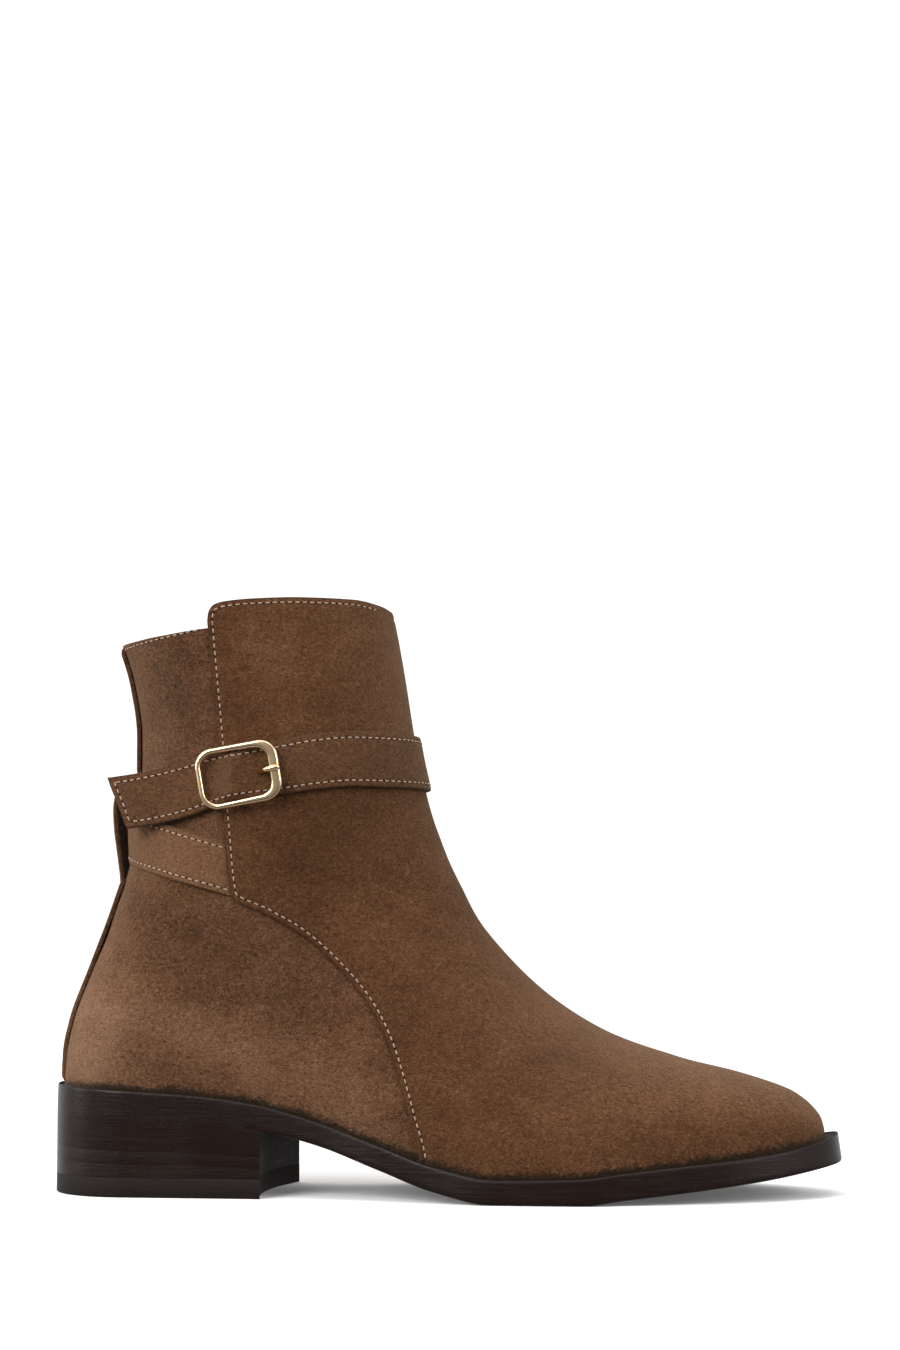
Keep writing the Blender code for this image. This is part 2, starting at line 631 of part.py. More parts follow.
def tube(name, path, radii, finish, closed=False, sides=10):
    """A round wire along a path."""
    path = np.array(path)
    n = len(path)
    points = []
    for i in range(n):
        ahead = path[(i + 1) % n] if closed or i < n - 1 else path[i]
        behind = path[i - 1] if closed or i > 0 else path[i]
        along = (ahead - behind) / np.linalg.norm(ahead - behind)
        side = np.cross(along, (0.0, -1.0, 0.0))
        side /= np.linalg.norm(side)
        out = np.cross(side, along)
        for turn in np.linspace(0, 2 * math.pi, sides, endpoint=False):
            points.append(path[i] + radii[i] * (math.cos(turn) * side + math.sin(turn) * out))
    faces = []
    for i in range(n if closed else n - 1):
        here, ahead = i * sides, (i + 1) % n * sides
        for j in range(sides):
            k = (j + 1) % sides
            faces.append((ahead + j, ahead + k, here + k, here + j))
    if not closed:
        faces.append(tuple(range(sides)))
        faces.append(tuple((n - 1) * sides + j for j in range(sides))[::-1])
    return add_solid(name, points, faces, finish)


def buckle_place(tree):
    """Returns a function from places in the buckle's plane, and out of it, to the boot."""
    tilt = math.radians(BUCKLE_TILT)
    turn = -90.0 + math.degrees(math.asin((BUCKLE_X - STRAP_AXIS_X) / BUCKLE_OUT))
    point, _ = surface_at(tree, turn, BUCKLE_Z)
    along = surface_at(tree, turn + BUCKLE_SPAN, BUCKLE_Z)[0] - surface_at(tree, turn - BUCKLE_SPAN, BUCKLE_Z)[0]
    along /= np.linalg.norm(along)
    flat = np.array((along[1], -along[0], 0.0))
    up = np.array((0.0, 0.0, 1.0))
    along, up = along * math.cos(tilt) + up * math.sin(tilt), up * math.cos(tilt) - along * math.sin(tilt)
    base = point + flat * (PANEL_STEP + STRAP_GAP + STRAP_THICK + BUCKLE_RISE)
    return lambda u, v, out: base + along * u + up * v + flat * out


def build_buckle(tree):
    """Frame with its bar, and the prong. Returns the solid that cuts the prong's slot in the strap."""
    place = buckle_place(tree)
    long_side, high = (BUCKLE_LONG - BUCKLE_WIRE) / 2, (BUCKLE_HIGH - BUCKLE_WIRE) / 2
    corner = BUCKLE_CORNER - BUCKLE_WIRE / 2
    path = []
    for start, u, v in ((0, 1, 1), (90, -1, 1), (180, -1, -1), (270, 1, -1)):
        for turn in np.linspace(start, start + 90, 6):
            c, s = math.cos(math.radians(turn)), math.sin(math.radians(turn))
            path.append(place(u * (long_side - corner) + corner * c, v * (high - corner) + corner * s, 0.0))
    frame = tube("buckle_frame", path, [BUCKLE_WIRE / 2] * len(path), GOLD, closed=True)
    reach = high + BAR_INTO
    straight = reach - BAR_SHOULDER
    drop = [(-reach, 0.0), (-straight, -BUCKLE_BAR_DROP), (straight, -BUCKLE_BAR_DROP), (reach, 0.0)]
    bar = [place(BUCKLE_BAR_X, v, out) for v, out in drop]
    combine(frame, tube("buckle_bar", bar, [BUCKLE_BAR_WIRE / 2] * len(bar), GOLD), "UNION")
    slot_from = BUCKLE_BAR_X + BUCKLE_BAR_WIRE / 2 + SLOT_AHEAD
    on_frame = BUCKLE_WIRE / 2 + PRONG_WIRE / 2
    shape = [(BUCKLE_BAR_X + BUCKLE_BAR_WIRE / 2 + PRONG_WIRE / 2 + GAP, -BUCKLE_BAR_DROP)]
    shape += [(slot_from + u, out) for u, out in PRONG_THROUGH]
    shape += [(long_side + u, on_frame + out) for u, out in PRONG_OVER_FRAME]
    prong = [place(u, 0.0, out) for u, out in shape]
    tube("buckle_prong", prong, [PRONG_WIRE / 2] * (len(prong) - 1) + [PRONG_TIP / 2], GOLD)
    u0, u1 = slot_from - SLOT_BACK, slot_from + SLOT_LONG
    corners = [(u0, -SLOT_WIDE / 2), (u1, -SLOT_WIDE / 2), (u1, SLOT_WIDE / 2), (u0, SLOT_WIDE / 2)]
    points = [place(u, v, out) for out in (SLOT_INWARD, SLOT_OUTWARD) for u, v in corners]
    faces = [(3, 2, 1, 0), (4, 5, 6, 7)] + [(i, (i + 1) % 4, (i + 1) % 4 + 4, i + 4) for i in range(4)]
    return add_solid("prong_slot", points, faces, SUEDE)


def build_loop():
    """The strip at the centre back, flat across and bowed in side view."""
    shape = np.array(LOOP_PATH)
    heights = curve(range(len(shape)), shape[:, 1])
    places = curve(range(len(shape)), shape[:, 0])
    steps = np.linspace(0, len(shape) - 1, 25)
    outer = np.stack([places(steps), heights(steps)], axis=1)
    along = np.gradient(outer, axis=0)
    along /= np.linalg.norm(along, axis=1)[:, None]
    inward = np.stack([-along[:, 1], along[:, 0]], axis=1)
    inner = outer + inward * LOOP_THICK
    outline = [tuple(p) for p in outer] + [tuple(p) for p in inner[::-1]]
    return prism("strap_back_loop", outline, -LOOP_WIDTH / 2, LOOP_WIDTH / 2)


def main():
    for old in list(bpy.data.objects):
        bpy.data.objects.remove(old, do_unlink=True)
    tree = BVHTree.FromPolygons([Vector(p) for p in FORM_POINTS], FORM_FACES)
    build_outsole()
    build_heel()
    build_insole()
    build_upper()
    strap = build_strap(tree)
    combine(strap, build_buckle(tree), "DIFFERENCE")
    build_loop()


main()
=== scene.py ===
"""Looks of a right ankle boot in brown suede with a wrap strap and a pale gold buckle.

Sizes are in millimetres and become metres where points are set.
X runs to the toe, Y to the inner side and Z up.
"""

import logging
import math
from dataclasses import dataclass, field
from enum import Enum
from typing import Any, Callable, Sequence, Union

import bpy
import numpy as np
from mathutils import Matrix, Vector
from mathutils.bvhtree import BVHTree


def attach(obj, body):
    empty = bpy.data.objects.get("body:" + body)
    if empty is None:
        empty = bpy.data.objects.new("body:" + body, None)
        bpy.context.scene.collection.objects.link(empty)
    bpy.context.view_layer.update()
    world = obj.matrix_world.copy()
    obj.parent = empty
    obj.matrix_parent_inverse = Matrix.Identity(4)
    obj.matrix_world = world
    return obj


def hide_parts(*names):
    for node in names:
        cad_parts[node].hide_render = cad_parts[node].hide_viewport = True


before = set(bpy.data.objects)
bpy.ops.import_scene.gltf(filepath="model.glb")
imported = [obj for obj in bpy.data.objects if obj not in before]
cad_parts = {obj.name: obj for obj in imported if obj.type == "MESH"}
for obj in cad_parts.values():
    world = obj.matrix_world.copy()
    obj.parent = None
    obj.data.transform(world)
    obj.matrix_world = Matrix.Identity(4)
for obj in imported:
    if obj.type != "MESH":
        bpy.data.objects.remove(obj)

MM = 0.001
LATERAL, MEDIAL, BOTH = -1.0, 1.0, 0.0

Array = np.ndarray
Colour = tuple[float, float, float]
Table = tuple[tuple[float, ...], ...]
BACKWARDS: Colour = (-1.0, 0.0, 0.0)
log = logging.getLogger("boot")


class Slot(Enum):
    """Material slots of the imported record."""

    SUEDE = "suede"
    SOLE = "sole_leather"
    RUBBER = "top_rubber"
    INSOLE = "insole_leather"
    GOLD = "pale_gold"


class Curve:
    """A smooth function through points that never overshoots them."""

    def __init__(self, xs: Sequence[float], ys: Sequence[float]) -> None:
        """Takes the points' places, rising, and their values."""
        self.xs, self.ys = np.asarray(xs, float), np.asarray(ys, float)
        rise = np.diff(self.ys) / np.diff(self.xs)
        self.slope = np.zeros(len(self.xs))
        self.slope[0], self.slope[-1] = rise[0], rise[-1]
        same = rise[:-1] * rise[1:] > 0
        before, after = rise[:-1][same], rise[1:][same]
        self.slope[1:-1][same] = 2 * before * after / (before + after)

    def __call__(self, x: Any) -> Array:
        """The value at x, held level beyond the ends."""
        x = np.clip(x, self.xs[0], self.xs[-1])
        i = np.clip(np.searchsorted(self.xs, x, side="right") - 1, 0, len(self.xs) - 2)
        h = self.xs[i + 1] - self.xs[i]
        t = (x - self.xs[i]) / h
        start = self.ys[i] * (1 + 2 * t) * (1 - t) ** 2 + h * self.slope[i] * t * (1 - t) ** 2
        return start + self.ys[i + 1] * t * t * (3 - 2 * t) - h * self.slope[i + 1] * t * t * (1 - t)


def table_curves(columns: Sequence[str], rows: Table) -> dict[str, Curve]:
    """Smooth functions of a table's first column.

    Args:
        columns: Names of the columns.
        rows: The table, a row for each place.

    Returns:
        One function for each column, by its name.
    """
    table = np.array(sorted(rows))
    return {name: Curve(table[:, 0], table[:, c]) for c, name in enumerate(columns)}


def solve(value: Callable[[Array], Array], low: Any, high: Any) -> Array:
    """Where a rising function passes zero, by halving.

    Args:
        value: The function, below zero at low and above it at high.
        low: Lower bounds.
        high: Upper bounds.

    Returns:
        The places, or a bound where there is no crossing.
    """
    low, high = np.array(low, float), np.array(high, float)
    for _ in range(40):
        middle = (low + high) / 2
        under = value(middle) < 0
        low, high = np.where(under, middle, low), np.where(under, high, middle)
    return (low + high) / 2


def path_run(path: Array) -> Array:
    """Length along a path up to each of its points."""
    return np.concatenate([[0.0], np.cumsum(np.linalg.norm(np.diff(path, axis=0), axis=1))])


def along_path(path: Array, places: Array) -> Array:
    """Points of a path at given lengths from its start."""
    run = path_run(path)
    return np.stack([np.interp(places, run, path[:, c]) for c in range(path.shape[1])], axis=1)


def smooth_path(shape: Array, count: int) -> Array:
    """A smooth path of close points through the points of a shape in order."""
    order, steps = range(len(shape)), np.linspace(0, len(shape) - 1, count)
    return np.stack([Curve(order, shape[:, c])(steps) for c in range(shape.shape[1])], axis=1)


def path_distance(path: Array, x: Array, z: Array) -> Array:
    """Distance in side view from points to a path.

    Args:
        path: Points of the path in side view.
        x: Places of the points.
        z: Heights of the points.

    Returns:
        The least distance of each point.
    """
    best = np.full(np.shape(x), 1e9)
    for (ax, az), (bx, bz) in zip(path[:-1], path[1:]):
        dx, dz = bx - ax, bz - az
        t = np.clip(((x - ax) * dx + (z - az) * dz) / max(dx * dx + dz * dz, 1e-9), 0, 1)
        best = np.minimum(best, np.hypot(x - ax - t * dx, z - az - t * dz))
    return best


def grid_normals(points: Array, outward: Vector) -> Array:
    """Unit normals of a grid of points.

    Args:
        points: The grid, rows by columns by three.
        outward: Roughly the outward direction in the middle of the grid.

    Returns:
        A normal for each point.
    """
    normal = np.cross(np.gradient(points, axis=0), np.gradient(points, axis=1))
    size = np.linalg.norm(normal, axis=2, keepdims=True)
    normal = normal / np.maximum(size, 1e-9)
    middle = normal[points.shape[0] // 2, points.shape[1] // 2]
    return normal if middle @ np.array(outward) > 0 else -normal


@dataclass
class SoleForm:
    """Outline, heights and rim of the sole along x."""

    columns: tuple[str, ...] = ("x", "lateral", "medial", "top", "tread", "rim")
    rows: Table = (
        (-132.5, 29.3, 29.3, 36.0, 27.2, 0.0),
        (-104.0, 29.6, 29.4, 34.9, 26.2, 1.5),
        (-80.0, 29.9, 28.2, 33.4, 24.9, 1.6),
        (-60.0, 30.6, 26.4, 30.7, 22.4, 2.2),
        (-40.0, 32.4, 25.2, 25.4, 17.6, 2.8),
        (-20.0, 36.0, 26.8, 18.4, 10.4, 3.5),
        (0.0, 40.8, 31.8, 11.7, 3.4, 4.4),
        (20.0, 44.0, 38.6, 8.1, -0.3, 4.1),
        (45.0, 44.3, 44.3, 8.5, -0.3, 4.1),
        (62.0, 41.9, 44.2, 10.4, 1.7, 4.2),
        (80.0, 37.6, 41.6, 12.3, 3.6, 4.2),
        (95.0, 33.2, 37.6, 13.7, 5.4, 3.9),
        (110.0, 28.0, 33.2, 15.6, 7.4, 3.3),
        (121.0, 24.0, 29.4, 17.6, 9.2, 2.2),
        (132.5, 19.5, 25.0, 20.7, 11.2, 0.0),
    )
    back: float = -132.5
    toe: float = 132.5
    heel_round_from: float = -104.0
    heel_round_power: float = 2.2
    toe_round_from: float = 88.0
    toe_round_power: float = 2.8
    lip: float = 0.6
    curves: dict[str, Curve] = field(init=False)

    def __post_init__(self) -> None:
        """Makes the columns' functions."""
        self.curves = table_curves(self.columns, self.rows)

    def middle(self, x: Any) -> Array:
        """Middle line of the outline."""
        return (self.curves["medial"](x) - self.curves["lateral"](x)) / 2

    def half(self, x: Any) -> Array:
        """Half width of the outline, with its rounded ends."""
        back = np.clip((self.heel_round_from - x) / (self.heel_round_from - self.back), 0, 1)
        toe = np.clip((x - self.toe_round_from) / (self.toe - self.toe_round_from), 0, 1)
        heel_end = (1 - back**self.heel_round_power) ** (1 / self.heel_round_power)
        toe_end = (1 - toe**self.toe_round_power) ** (1 / self.toe_round_power)
        return (self.curves["medial"](x) + self.curves["lateral"](x)) / 2 * heel_end * toe_end

    def top(self, x: Any) -> Array:
        """Top of the rim."""
        return self.curves["top"](x)

    def tread(self, x: Any) -> Array:
        """Underside, with its flat spot on the floor."""
        return np.maximum(self.curves["tread"](x), 0.0)

    def seat(self, x: Any) -> Array:
        """Where the upper stands on the sole."""
        return self.top(x) - self.lip

    def loop(self, count: int) -> Array:
        """The outline in plan: the outer side from heel to toe, then the inner side back.

        Args:
            count: Stations from heel to toe.

        Returns:
            Points in order, without a repeated end.
        """
        turn = np.linspace(0, math.pi, count)
        xs = self.back + (self.toe - self.back) * (1 - np.cos(turn)) / 2
        lateral = np.stack([xs, self.middle(xs) - self.half(xs)], axis=1)
        medial = np.stack([xs, self.middle(xs) + self.half(xs)], axis=1)
        return np.concatenate([lateral, medial[-2:0:-1]])


@dataclass
class Last:
    """Form of the upper: a fan of sections from the toe, over the instep, to the level collar."""

    sole: SoleForm
    foot_columns: tuple[str, ...] = (
        "low_x", "top_x", "top_z", "ridge_y", "lateral", "medial", "belly", "low_power", "top_power",
    )
    foot_rows: Table = (
        (125.75, 125.7, 21.6, 3.0, 0.0, 0.0, 0.46, 2.2, 2.2),
        (125.0, 124.8, 24.8, 3.1, 0.0, 0.0, 0.45, 2.2, 2.2),
        (122.6, 122.2, 28.3, 3.2, 0.0, 0.0, 0.42, 2.2, 2.2),
        (117.0, 116.2, 32.9, 3.6, 0.0, 0.0, 0.38, 2.2, 2.2),
        (101.0, 99.0, 38.9, 4.6, 0.0, 0.0, 0.32, 2.1, 2.1),
        (80.0, 77.0, 44.1, 5.6, 0.0, 0.0, 0.28, 2.0, 2.0),
        (51.0, 55.0, 51.6, 6.0, 41.4, 41.0, 0.25, 1.9, 1.9),
        (20.0, 34.5, 64.1, 5.2, 39.4, 38.4, 0.24, 1.8, 1.8),
        (-12.0, 19.4, 78.2, 4.0, 34.6, 33.2, 0.26, 1.8, 1.8),
        (-48.0, 9.2, 91.0, 2.6, 31.6, 30.4, 0.30, 1.6, 1.85),
        (-85.0, 3.6, 102.0, 1.6, 31.0, 30.4, 0.34, 1.3, 1.95),
        (-117.0, -0.4, 111.0, 1.0, 31.6, 31.0, 0.38, 1.15, 2.05),
        (-130.8, -3.2, 118.4, 0.6, 32.3, 31.9, 0.40, 1.1, 2.1),
    )
    shaft_columns: tuple[str, ...] = (
        "low_x", "low_z", "top_x", "top_z", "half_width", "belly", "top_power", "low_half", "reach",
    )
    shaft_rows: Table = (
        (-130.4, 46.0, -5.2, 124.0, 32.8, 0.41, 2.1, 29.6, 29.0),
        (-128.0, 57.5, -7.0, 130.0, 33.3, 0.42, 2.1, 30.6, 31.0),
        (-121.3, 75.0, -9.0, 138.0, 33.8, 0.44, 2.1, 32.2, 34.0),
        (-113.4, 96.0, -10.8, 146.0, 33.9, 0.45, 2.1, 33.3, 37.0),
        (-107.8, 115.0, -12.0, 152.5, 33.6, 0.45, 2.1, 33.6, 39.0),
        (-105.5, 135.0, -13.4, 161.0, 33.2, 0.45, 2.1, 33.2, 40.0),
        (-105.5, 153.0, -15.1, 172.0, 33.3, 0.45, 2.1, 33.3, 40.0),
        (-107.8, 170.0, -17.2, 184.0, 33.8, 0.45, 2.1, 33.8, 40.0),
        (-112.6, 186.0, -19.7, 197.0, 34.3, 0.45, 2.1, 34.3, 41.0),
        (-118.0, 204.0, -22.0, 212.0, 34.8, 0.45, 2.1, 34.8, 41.0),
    )
    shaft_low_power: float = 1.1
    back: float = -130.9
    toe: float = 125.8
    feather_least: float = 0.4
    section: dict[str, Curve] = field(init=False)

    def __post_init__(self) -> None:
        """Makes the back line and one table of sections from foot and shaft."""
        sole = self.sole
        self.last_foot = len(self.foot_rows) - 1
        self.end = len(self.foot_rows) + len(self.shaft_rows) - 1
        reach = (sole.heel_round_from - sole.back) * (self.toe - self.back) / (sole.toe - sole.back)
        shaft = [dict(zip(self.shaft_columns, row)) for row in self.shaft_rows]
        heights = [float(sole.seat(self.back))] + [row["low_z"] for row in shaft]
        self.back_line = Curve(heights, [self.back] + [row["low_x"] for row in shaft])
        self.back_reach = Curve(heights, [reach] + [row["reach"] for row in shaft])
        rows = []
        for values in self.foot_rows:
            foot = dict(zip(self.foot_columns, values))
            foot["low_z"] = float(sole.seat(foot["low_x"]))
            foot["low_half"] = float(self.straight_half(foot["low_x"]))
            rows.append(foot)
        for row in shaft:
            sides = {"ridge_y": 0.0, "lateral": row["half_width"], "medial": row["half_width"]}
            rows.append({**row, **sides, "low_power": self.shaft_low_power})
        names = set(rows[0]) & set(rows[-1])
        self.section = {name: Curve(range(len(rows)), [row[name] for row in rows]) for name in names}

    def sole_x(self, x: Any) -> Array:
        """The place along the sole that matches x along the bottom of the upper."""
        return self.sole.back + (x - self.back) * (self.sole.toe - self.sole.back) / (self.toe - self.back)

    def feather_half(self, x: Any) -> Array:
        """Half width of the upper where it meets the sole."""
        at = self.sole_x(x)
        return np.maximum(self.sole.half(at) - self.sole.curves["rim"](at), self.feather_least)

    def back_round(self, x: Any, z: Any) -> Array:
        """1 along the sides, falling to 0 at the centre back."""
        power = self.sole.heel_round_power
        far = np.clip(1 - (x - self.back_line(z)) / self.back_reach(z), 0, 1)
        return (1 - far**power) ** (1 / power)

    def straight_half(self, x: Any) -> Array:
        """Half width at the sole as it would be without the rounding of the heel."""
        return self.feather_half(x) / np.maximum(self.back_round(x, self.sole.seat(x)), 1e-3)

    def line(self, k: Any) -> tuple[Array, Array, Array, Array]:
        """Low and top end of section k in side view."""
        low_x = self.section["low_x"](k)
        low_z = np.where(k <= self.last_foot, self.sole.seat(low_x), self.section["low_z"](k))
        return low_x, low_z, self.section["top_x"](k), self.section["top_z"](k)

    def place(self, k: Any, v: Any, side: float) -> Array:
        """Points of the form.

        Args:
            k: Section numbers, from 0 at the toe.
            v: Shares of the way from a section's low end to its ridge.
            side: LATERAL or MEDIAL.

        Returns:
            The points, three numbers in the last axis.
        """
        k, v = np.broadcast_arrays(np.asarray(k, float), np.asarray(v, float))
        low_x, low_z, top_x, top_z = self.line(k)
        row = {name: curve(k) for name, curve in self.section.items()}
        low_half = np.where(k <= self.last_foot, self.straight_half(low_x), row["low_half"])
        low_y = self.sole.middle(self.sole_x(low_x)) * np.clip(self.last_foot + 1 - k, 0, 1)
        widest = np.maximum(row["lateral"] if side < 0 else row["medial"], low_half + 0.8)
        x, z = low_x + v * (top_x - low_x), low_z + v * (top_z - low_z)
        up = np.clip(v / row["belly"], 0, 1)
        over = np.clip((v - row["belly"]) / (1 - row["belly"]), 0, 1)
        low_power, top_power = row["low_power"], row["top_power"]
        below = low_half + (widest - low_half) * (1 - (1 - up) ** low_power) ** (1 / low_power)
        above = widest * (1 - over**top_power) ** (1 / top_power)
        half = np.where(v < row["belly"], below, above)
        y = low_y + v * (row["ridge_y"] - low_y) + side * half * self.back_round(x, z)
        return np.stack([x, y, z], axis=-1)

    def locate(self, x: Array, z: Array) -> tuple[Array, Array]:
        """Section number and share of the way up it for places in side view."""

        def ahead(k: Array) -> Array:
            """Below zero where the place lies past section k, as seen from the toe."""
            low_x, low_z, top_x, top_z = self.line(k)
            return (top_z - low_z) * (x - low_x) - (top_x - low_x) * (z - low_z)

        k = solve(ahead, np.zeros_like(x), np.full_like(x, self.end))
        low_x, low_z, top_x, top_z = self.line(k)
        dx, dz = top_x - low_x, top_z - low_z
        return k, ((x - low_x) * dx + (z - low_z) * dz) / (dx * dx + dz * dz)

    def on_side(self, x: Array, z: Array, side: float) -> Array:
        """Points of one side of the form at places in side view."""
        k, v = self.locate(np.asarray(x, float), np.asarray(z, float))
        return self.place(k, np.minimum(v, 1.0), side)

    def tree(self) -> BVHTree:
        """The form round the ankle for casting rays."""
        ks, vs = np.linspace(8, self.end, 120), 1 - (1 - np.linspace(0, 1, 70)) ** 1.6
        lateral, medial = (self.place(ks[:, None], vs[None, :], side) for side in (LATERAL, MEDIAL))
        ring = np.concatenate([lateral, medial[:, -2::-1]], axis=1)
        ring[ks > self.last_foot, ::ring.shape[1] - 1, 1] = 0.0
        rows, columns = ring.shape[:2]
        faces = [
            (i * columns + j, i * columns + j + 1, (i + 1) * columns + j + 1, (i + 1) * columns + j)
            for i in range(rows - 1)
            for j in range(columns - 1)
        ]
        return BVHTree.FromPolygons([Vector(p) for p in ring.reshape(-1, 3)], faces)


@dataclass
class PanelLine:
    """Edge of the front panel in side view, from the sole up the side and along the collar."""

    last: Last
    side: Table = (
        (-4.9, 6.0),
        (-5.5, 14.7),
        (-8.6, 26.0),
        (-12.4, 38.9),
        (-16.6, 50.9),
        (-22.3, 61.9),
        (-31.3, 73.3),
        (-44.6, 85.7),
        (-56.2, 92.8),
        (-68.2, 99.1),
        (-70.6, 121.1),
        (-73.1, 150.9),
        (-74.9, 170.8),
        (-76.6, 190.5),
    )
    collar: Table = (
        (-76.6, 190.5),
        (-76.2, 193.6),
        (-74.2, 196.0),
        (-70.9, 197.0),
        (-61.5, 197.9),
        (-45.4, 198.5),
        (-30.0, 198.4),
        (-22.0, 197.0),
        (-16.0, 193.6),
    )
    back_collar: Table = ((-140.0, 181.0), (-105.2, 184.8), (-93.3, 186.8), (-75.6, 189.8), (-60.0, 191.0))
    foot: float = 6.0
    corner: float = 99.1
    curve_in: float = 2.0
    collar_in: float = 1.7

    def __post_init__(self) -> None:
        """Makes smooth functions of the edges."""
        side, collar, back = np.array(self.side), np.array(self.collar), np.array(self.back_collar)
        self.side_x = Curve(side[:, 1], side[:, 0])
        self.collar_z = Curve(collar[:, 0], collar[:, 1])
        self.back_z = Curve(back[:, 0], back[:, 1])

    def side_path(self, low: float, high: float) -> Array:
        """The side edge as close points between two heights."""
        z = np.linspace(low, high, 400)
        return np.stack([self.side_x(z), z], axis=1)

    def collar_path(self) -> Array:
        """The collar edge as close points, from the rear corner to the front."""
        x = np.linspace(self.collar[0][0], self.collar[-1][0], 400)
        return np.stack([x, self.collar_z(x)], axis=1)

    def parts(self) -> tuple[Array, Array]:
        """The edge below its corner, and the rest up the side and along the collar."""
        low = self.side_path(self.foot, self.corner)
        high = self.side_path(self.corner, self.side[-1][1])
        return low, np.concatenate([high, self.collar_path()[1:]])

    def whole_path(self) -> Array:
        """Side and collar edge in one path."""
        return np.concatenate(self.parts())

    def stitch_path(self) -> Array:
        """The stitch row inside the edge, from the sole to the front of the collar."""
        low, high = self.parts()
        low_row, high_row = self.inset(low, self.curve_in), self.inset(high, self.collar_in)
        low_row = low_row[path_distance(high, low_row[:, 0], low_row[:, 1]) > self.collar_in]
        high_row = high_row[path_distance(low, high_row[:, 0], high_row[:, 1]) > self.curve_in]
        return np.concatenate([low_row, high_row])

    def share(self, k: Array) -> Array:
        """How far up section k the panel's edge lies, 0 where the panel reaches the sole."""
        k = np.asarray(k, float)
        low_x, low_z, top_x, top_z = self.last.line(k)

        def inside(v: Array) -> Array:
            """Above zero on the panel."""
            return low_x + v * (top_x - low_x) - self.side_x(low_z + v * (top_z - low_z))

        return solve(inside, np.zeros_like(k), np.ones_like(k))

    def inset(self, path: Array, distance: float) -> Array:
        """A path in side view moved to the right of its direction."""
        along = np.gradient(path, axis=0)
        along /= np.linalg.norm(along, axis=1)[:, None]
        return path + distance * np.stack([along[:, 1], -along[:, 0]], axis=1)


@dataclass(frozen=True)
class Crease:
    """A soft trough, or a ridge where depth is below zero, along a path in side view."""

    path: Table
    width: float
    depth: float
    side: float = LATERAL
    fade: float = 8.0

    def sink(self, points: Array) -> Array:
        """How far points sink into the crease.

        Args:
            points: A grid of points.

        Returns:
            Depths in millimetres, fading at the crease's ends and towards the boot's middle.
        """
        path = np.array(self.path)
        far = path_distance(path, points[..., 0], points[..., 2])
        near = 1.0 if self.side == BOTH else np.clip(self.side * points[..., 1] / self.fade, 0, 1)
        return self.depth * np.exp(-((far / self.width) ** 2)) * near


@dataclass(frozen=True)
class NapAndLightPatch:
    """A soft patch painted lighter, or darker where light is below zero: some stand for the lie of the nap,
    some are painted light and shade on the form.
    """

    place: tuple[float, float]
    reach: tuple[float, float]
    lean: float
    light: float

    def shade(self, points: Array) -> Array:
        """How much lighter points are by their place in side view."""
        turn = math.radians(self.lean)
        x, z = points[..., 0] - self.place[0], points[..., 2] - self.place[1]
        along = (x * math.cos(turn) + z * math.sin(turn)) / self.reach[0]
        across = (z * math.cos(turn) - x * math.sin(turn)) / self.reach[1]
        return self.light * np.exp(-(along**2) - across**2)


class Value:
    """A number from a node's socket that takes part in sums."""

    def __init__(self, nodes: "Nodes", socket: Any) -> None:
        """Holds a socket and the nodes it belongs to."""
        self.nodes, self.socket = nodes, socket

    def math(self, operation: str, *others: Any) -> "Value":
        """A Math node on this value and others."""
        return self.nodes.math(operation, self, *others)

    def __add__(self, other: "Number") -> "Value":
        """Sum."""
        return self.math("ADD", other)

    __radd__ = __add__

    def __sub__(self, other: "Number") -> "Value":
        """Difference."""
        return self.math("SUBTRACT", other)

    def __rsub__(self, other: "Number") -> "Value":
        """Difference from another value."""
        return self.nodes.math("SUBTRACT", other, self)

    def __mul__(self, other: "Number") -> "Value":
        """Product."""
        return self.math("MULTIPLY", other)

    __rmul__ = __mul__

    def __truediv__(self, other: "Number") -> "Value":
        """Quotient."""
        return self.math("DIVIDE", other)

    def clamp(self, low: float = 0.0, high: float = 1.0) -> "Value":
        """Held between two bounds."""
        return self.math("MAXIMUM", low).math("MINIMUM", high)

    def step(self, low: float, high: float) -> "Value":
        """0 below low and 1 above high, smooth between."""
        t = ((self - low) / (high - low)).clamp()
        return t * t * (3.0 - 2.0 * t)


Number = Union[Value, float]


class Nodes:
    """A node tree that values and sums are added to."""

    def __init__(self, tree: bpy.types.NodeTree) -> None:
        """Takes the tree."""
        self.tree = tree

    def node(
        self, kind: str, settings: dict[str, Any] | None = None, inputs: dict[Any, Any] | None = None
    ) -> Any:
        """Adds a node.

        Args:
            kind: The node's type.
            settings: Properties, set before the inputs.
            inputs: Values, numbers or sockets by the input's name or number.

        Returns:
            The node.
        """
        made = self.tree.nodes.new(kind)
        for name, value in (settings or {}).items():
            setattr(made, name, value)
        for name, value in (inputs or {}).items():
            self.feed(made.inputs[name], value)
        return made

    def feed(self, socket: Any, value: Any) -> None:
        """Links a value to an input, or sets the input."""
        if isinstance(value, Value):
            value = value.socket
        if isinstance(value, bpy.types.NodeSocket):
            self.tree.links.new(value, socket)
        else:
            socket.default_value = value

    def math(self, operation: str, *values: Any) -> Value:
        """A Math node on values and numbers."""
        made = self.node("ShaderNodeMath", {"operation": operation}, dict(enumerate(values)))
        return Value(self, made.outputs[0])


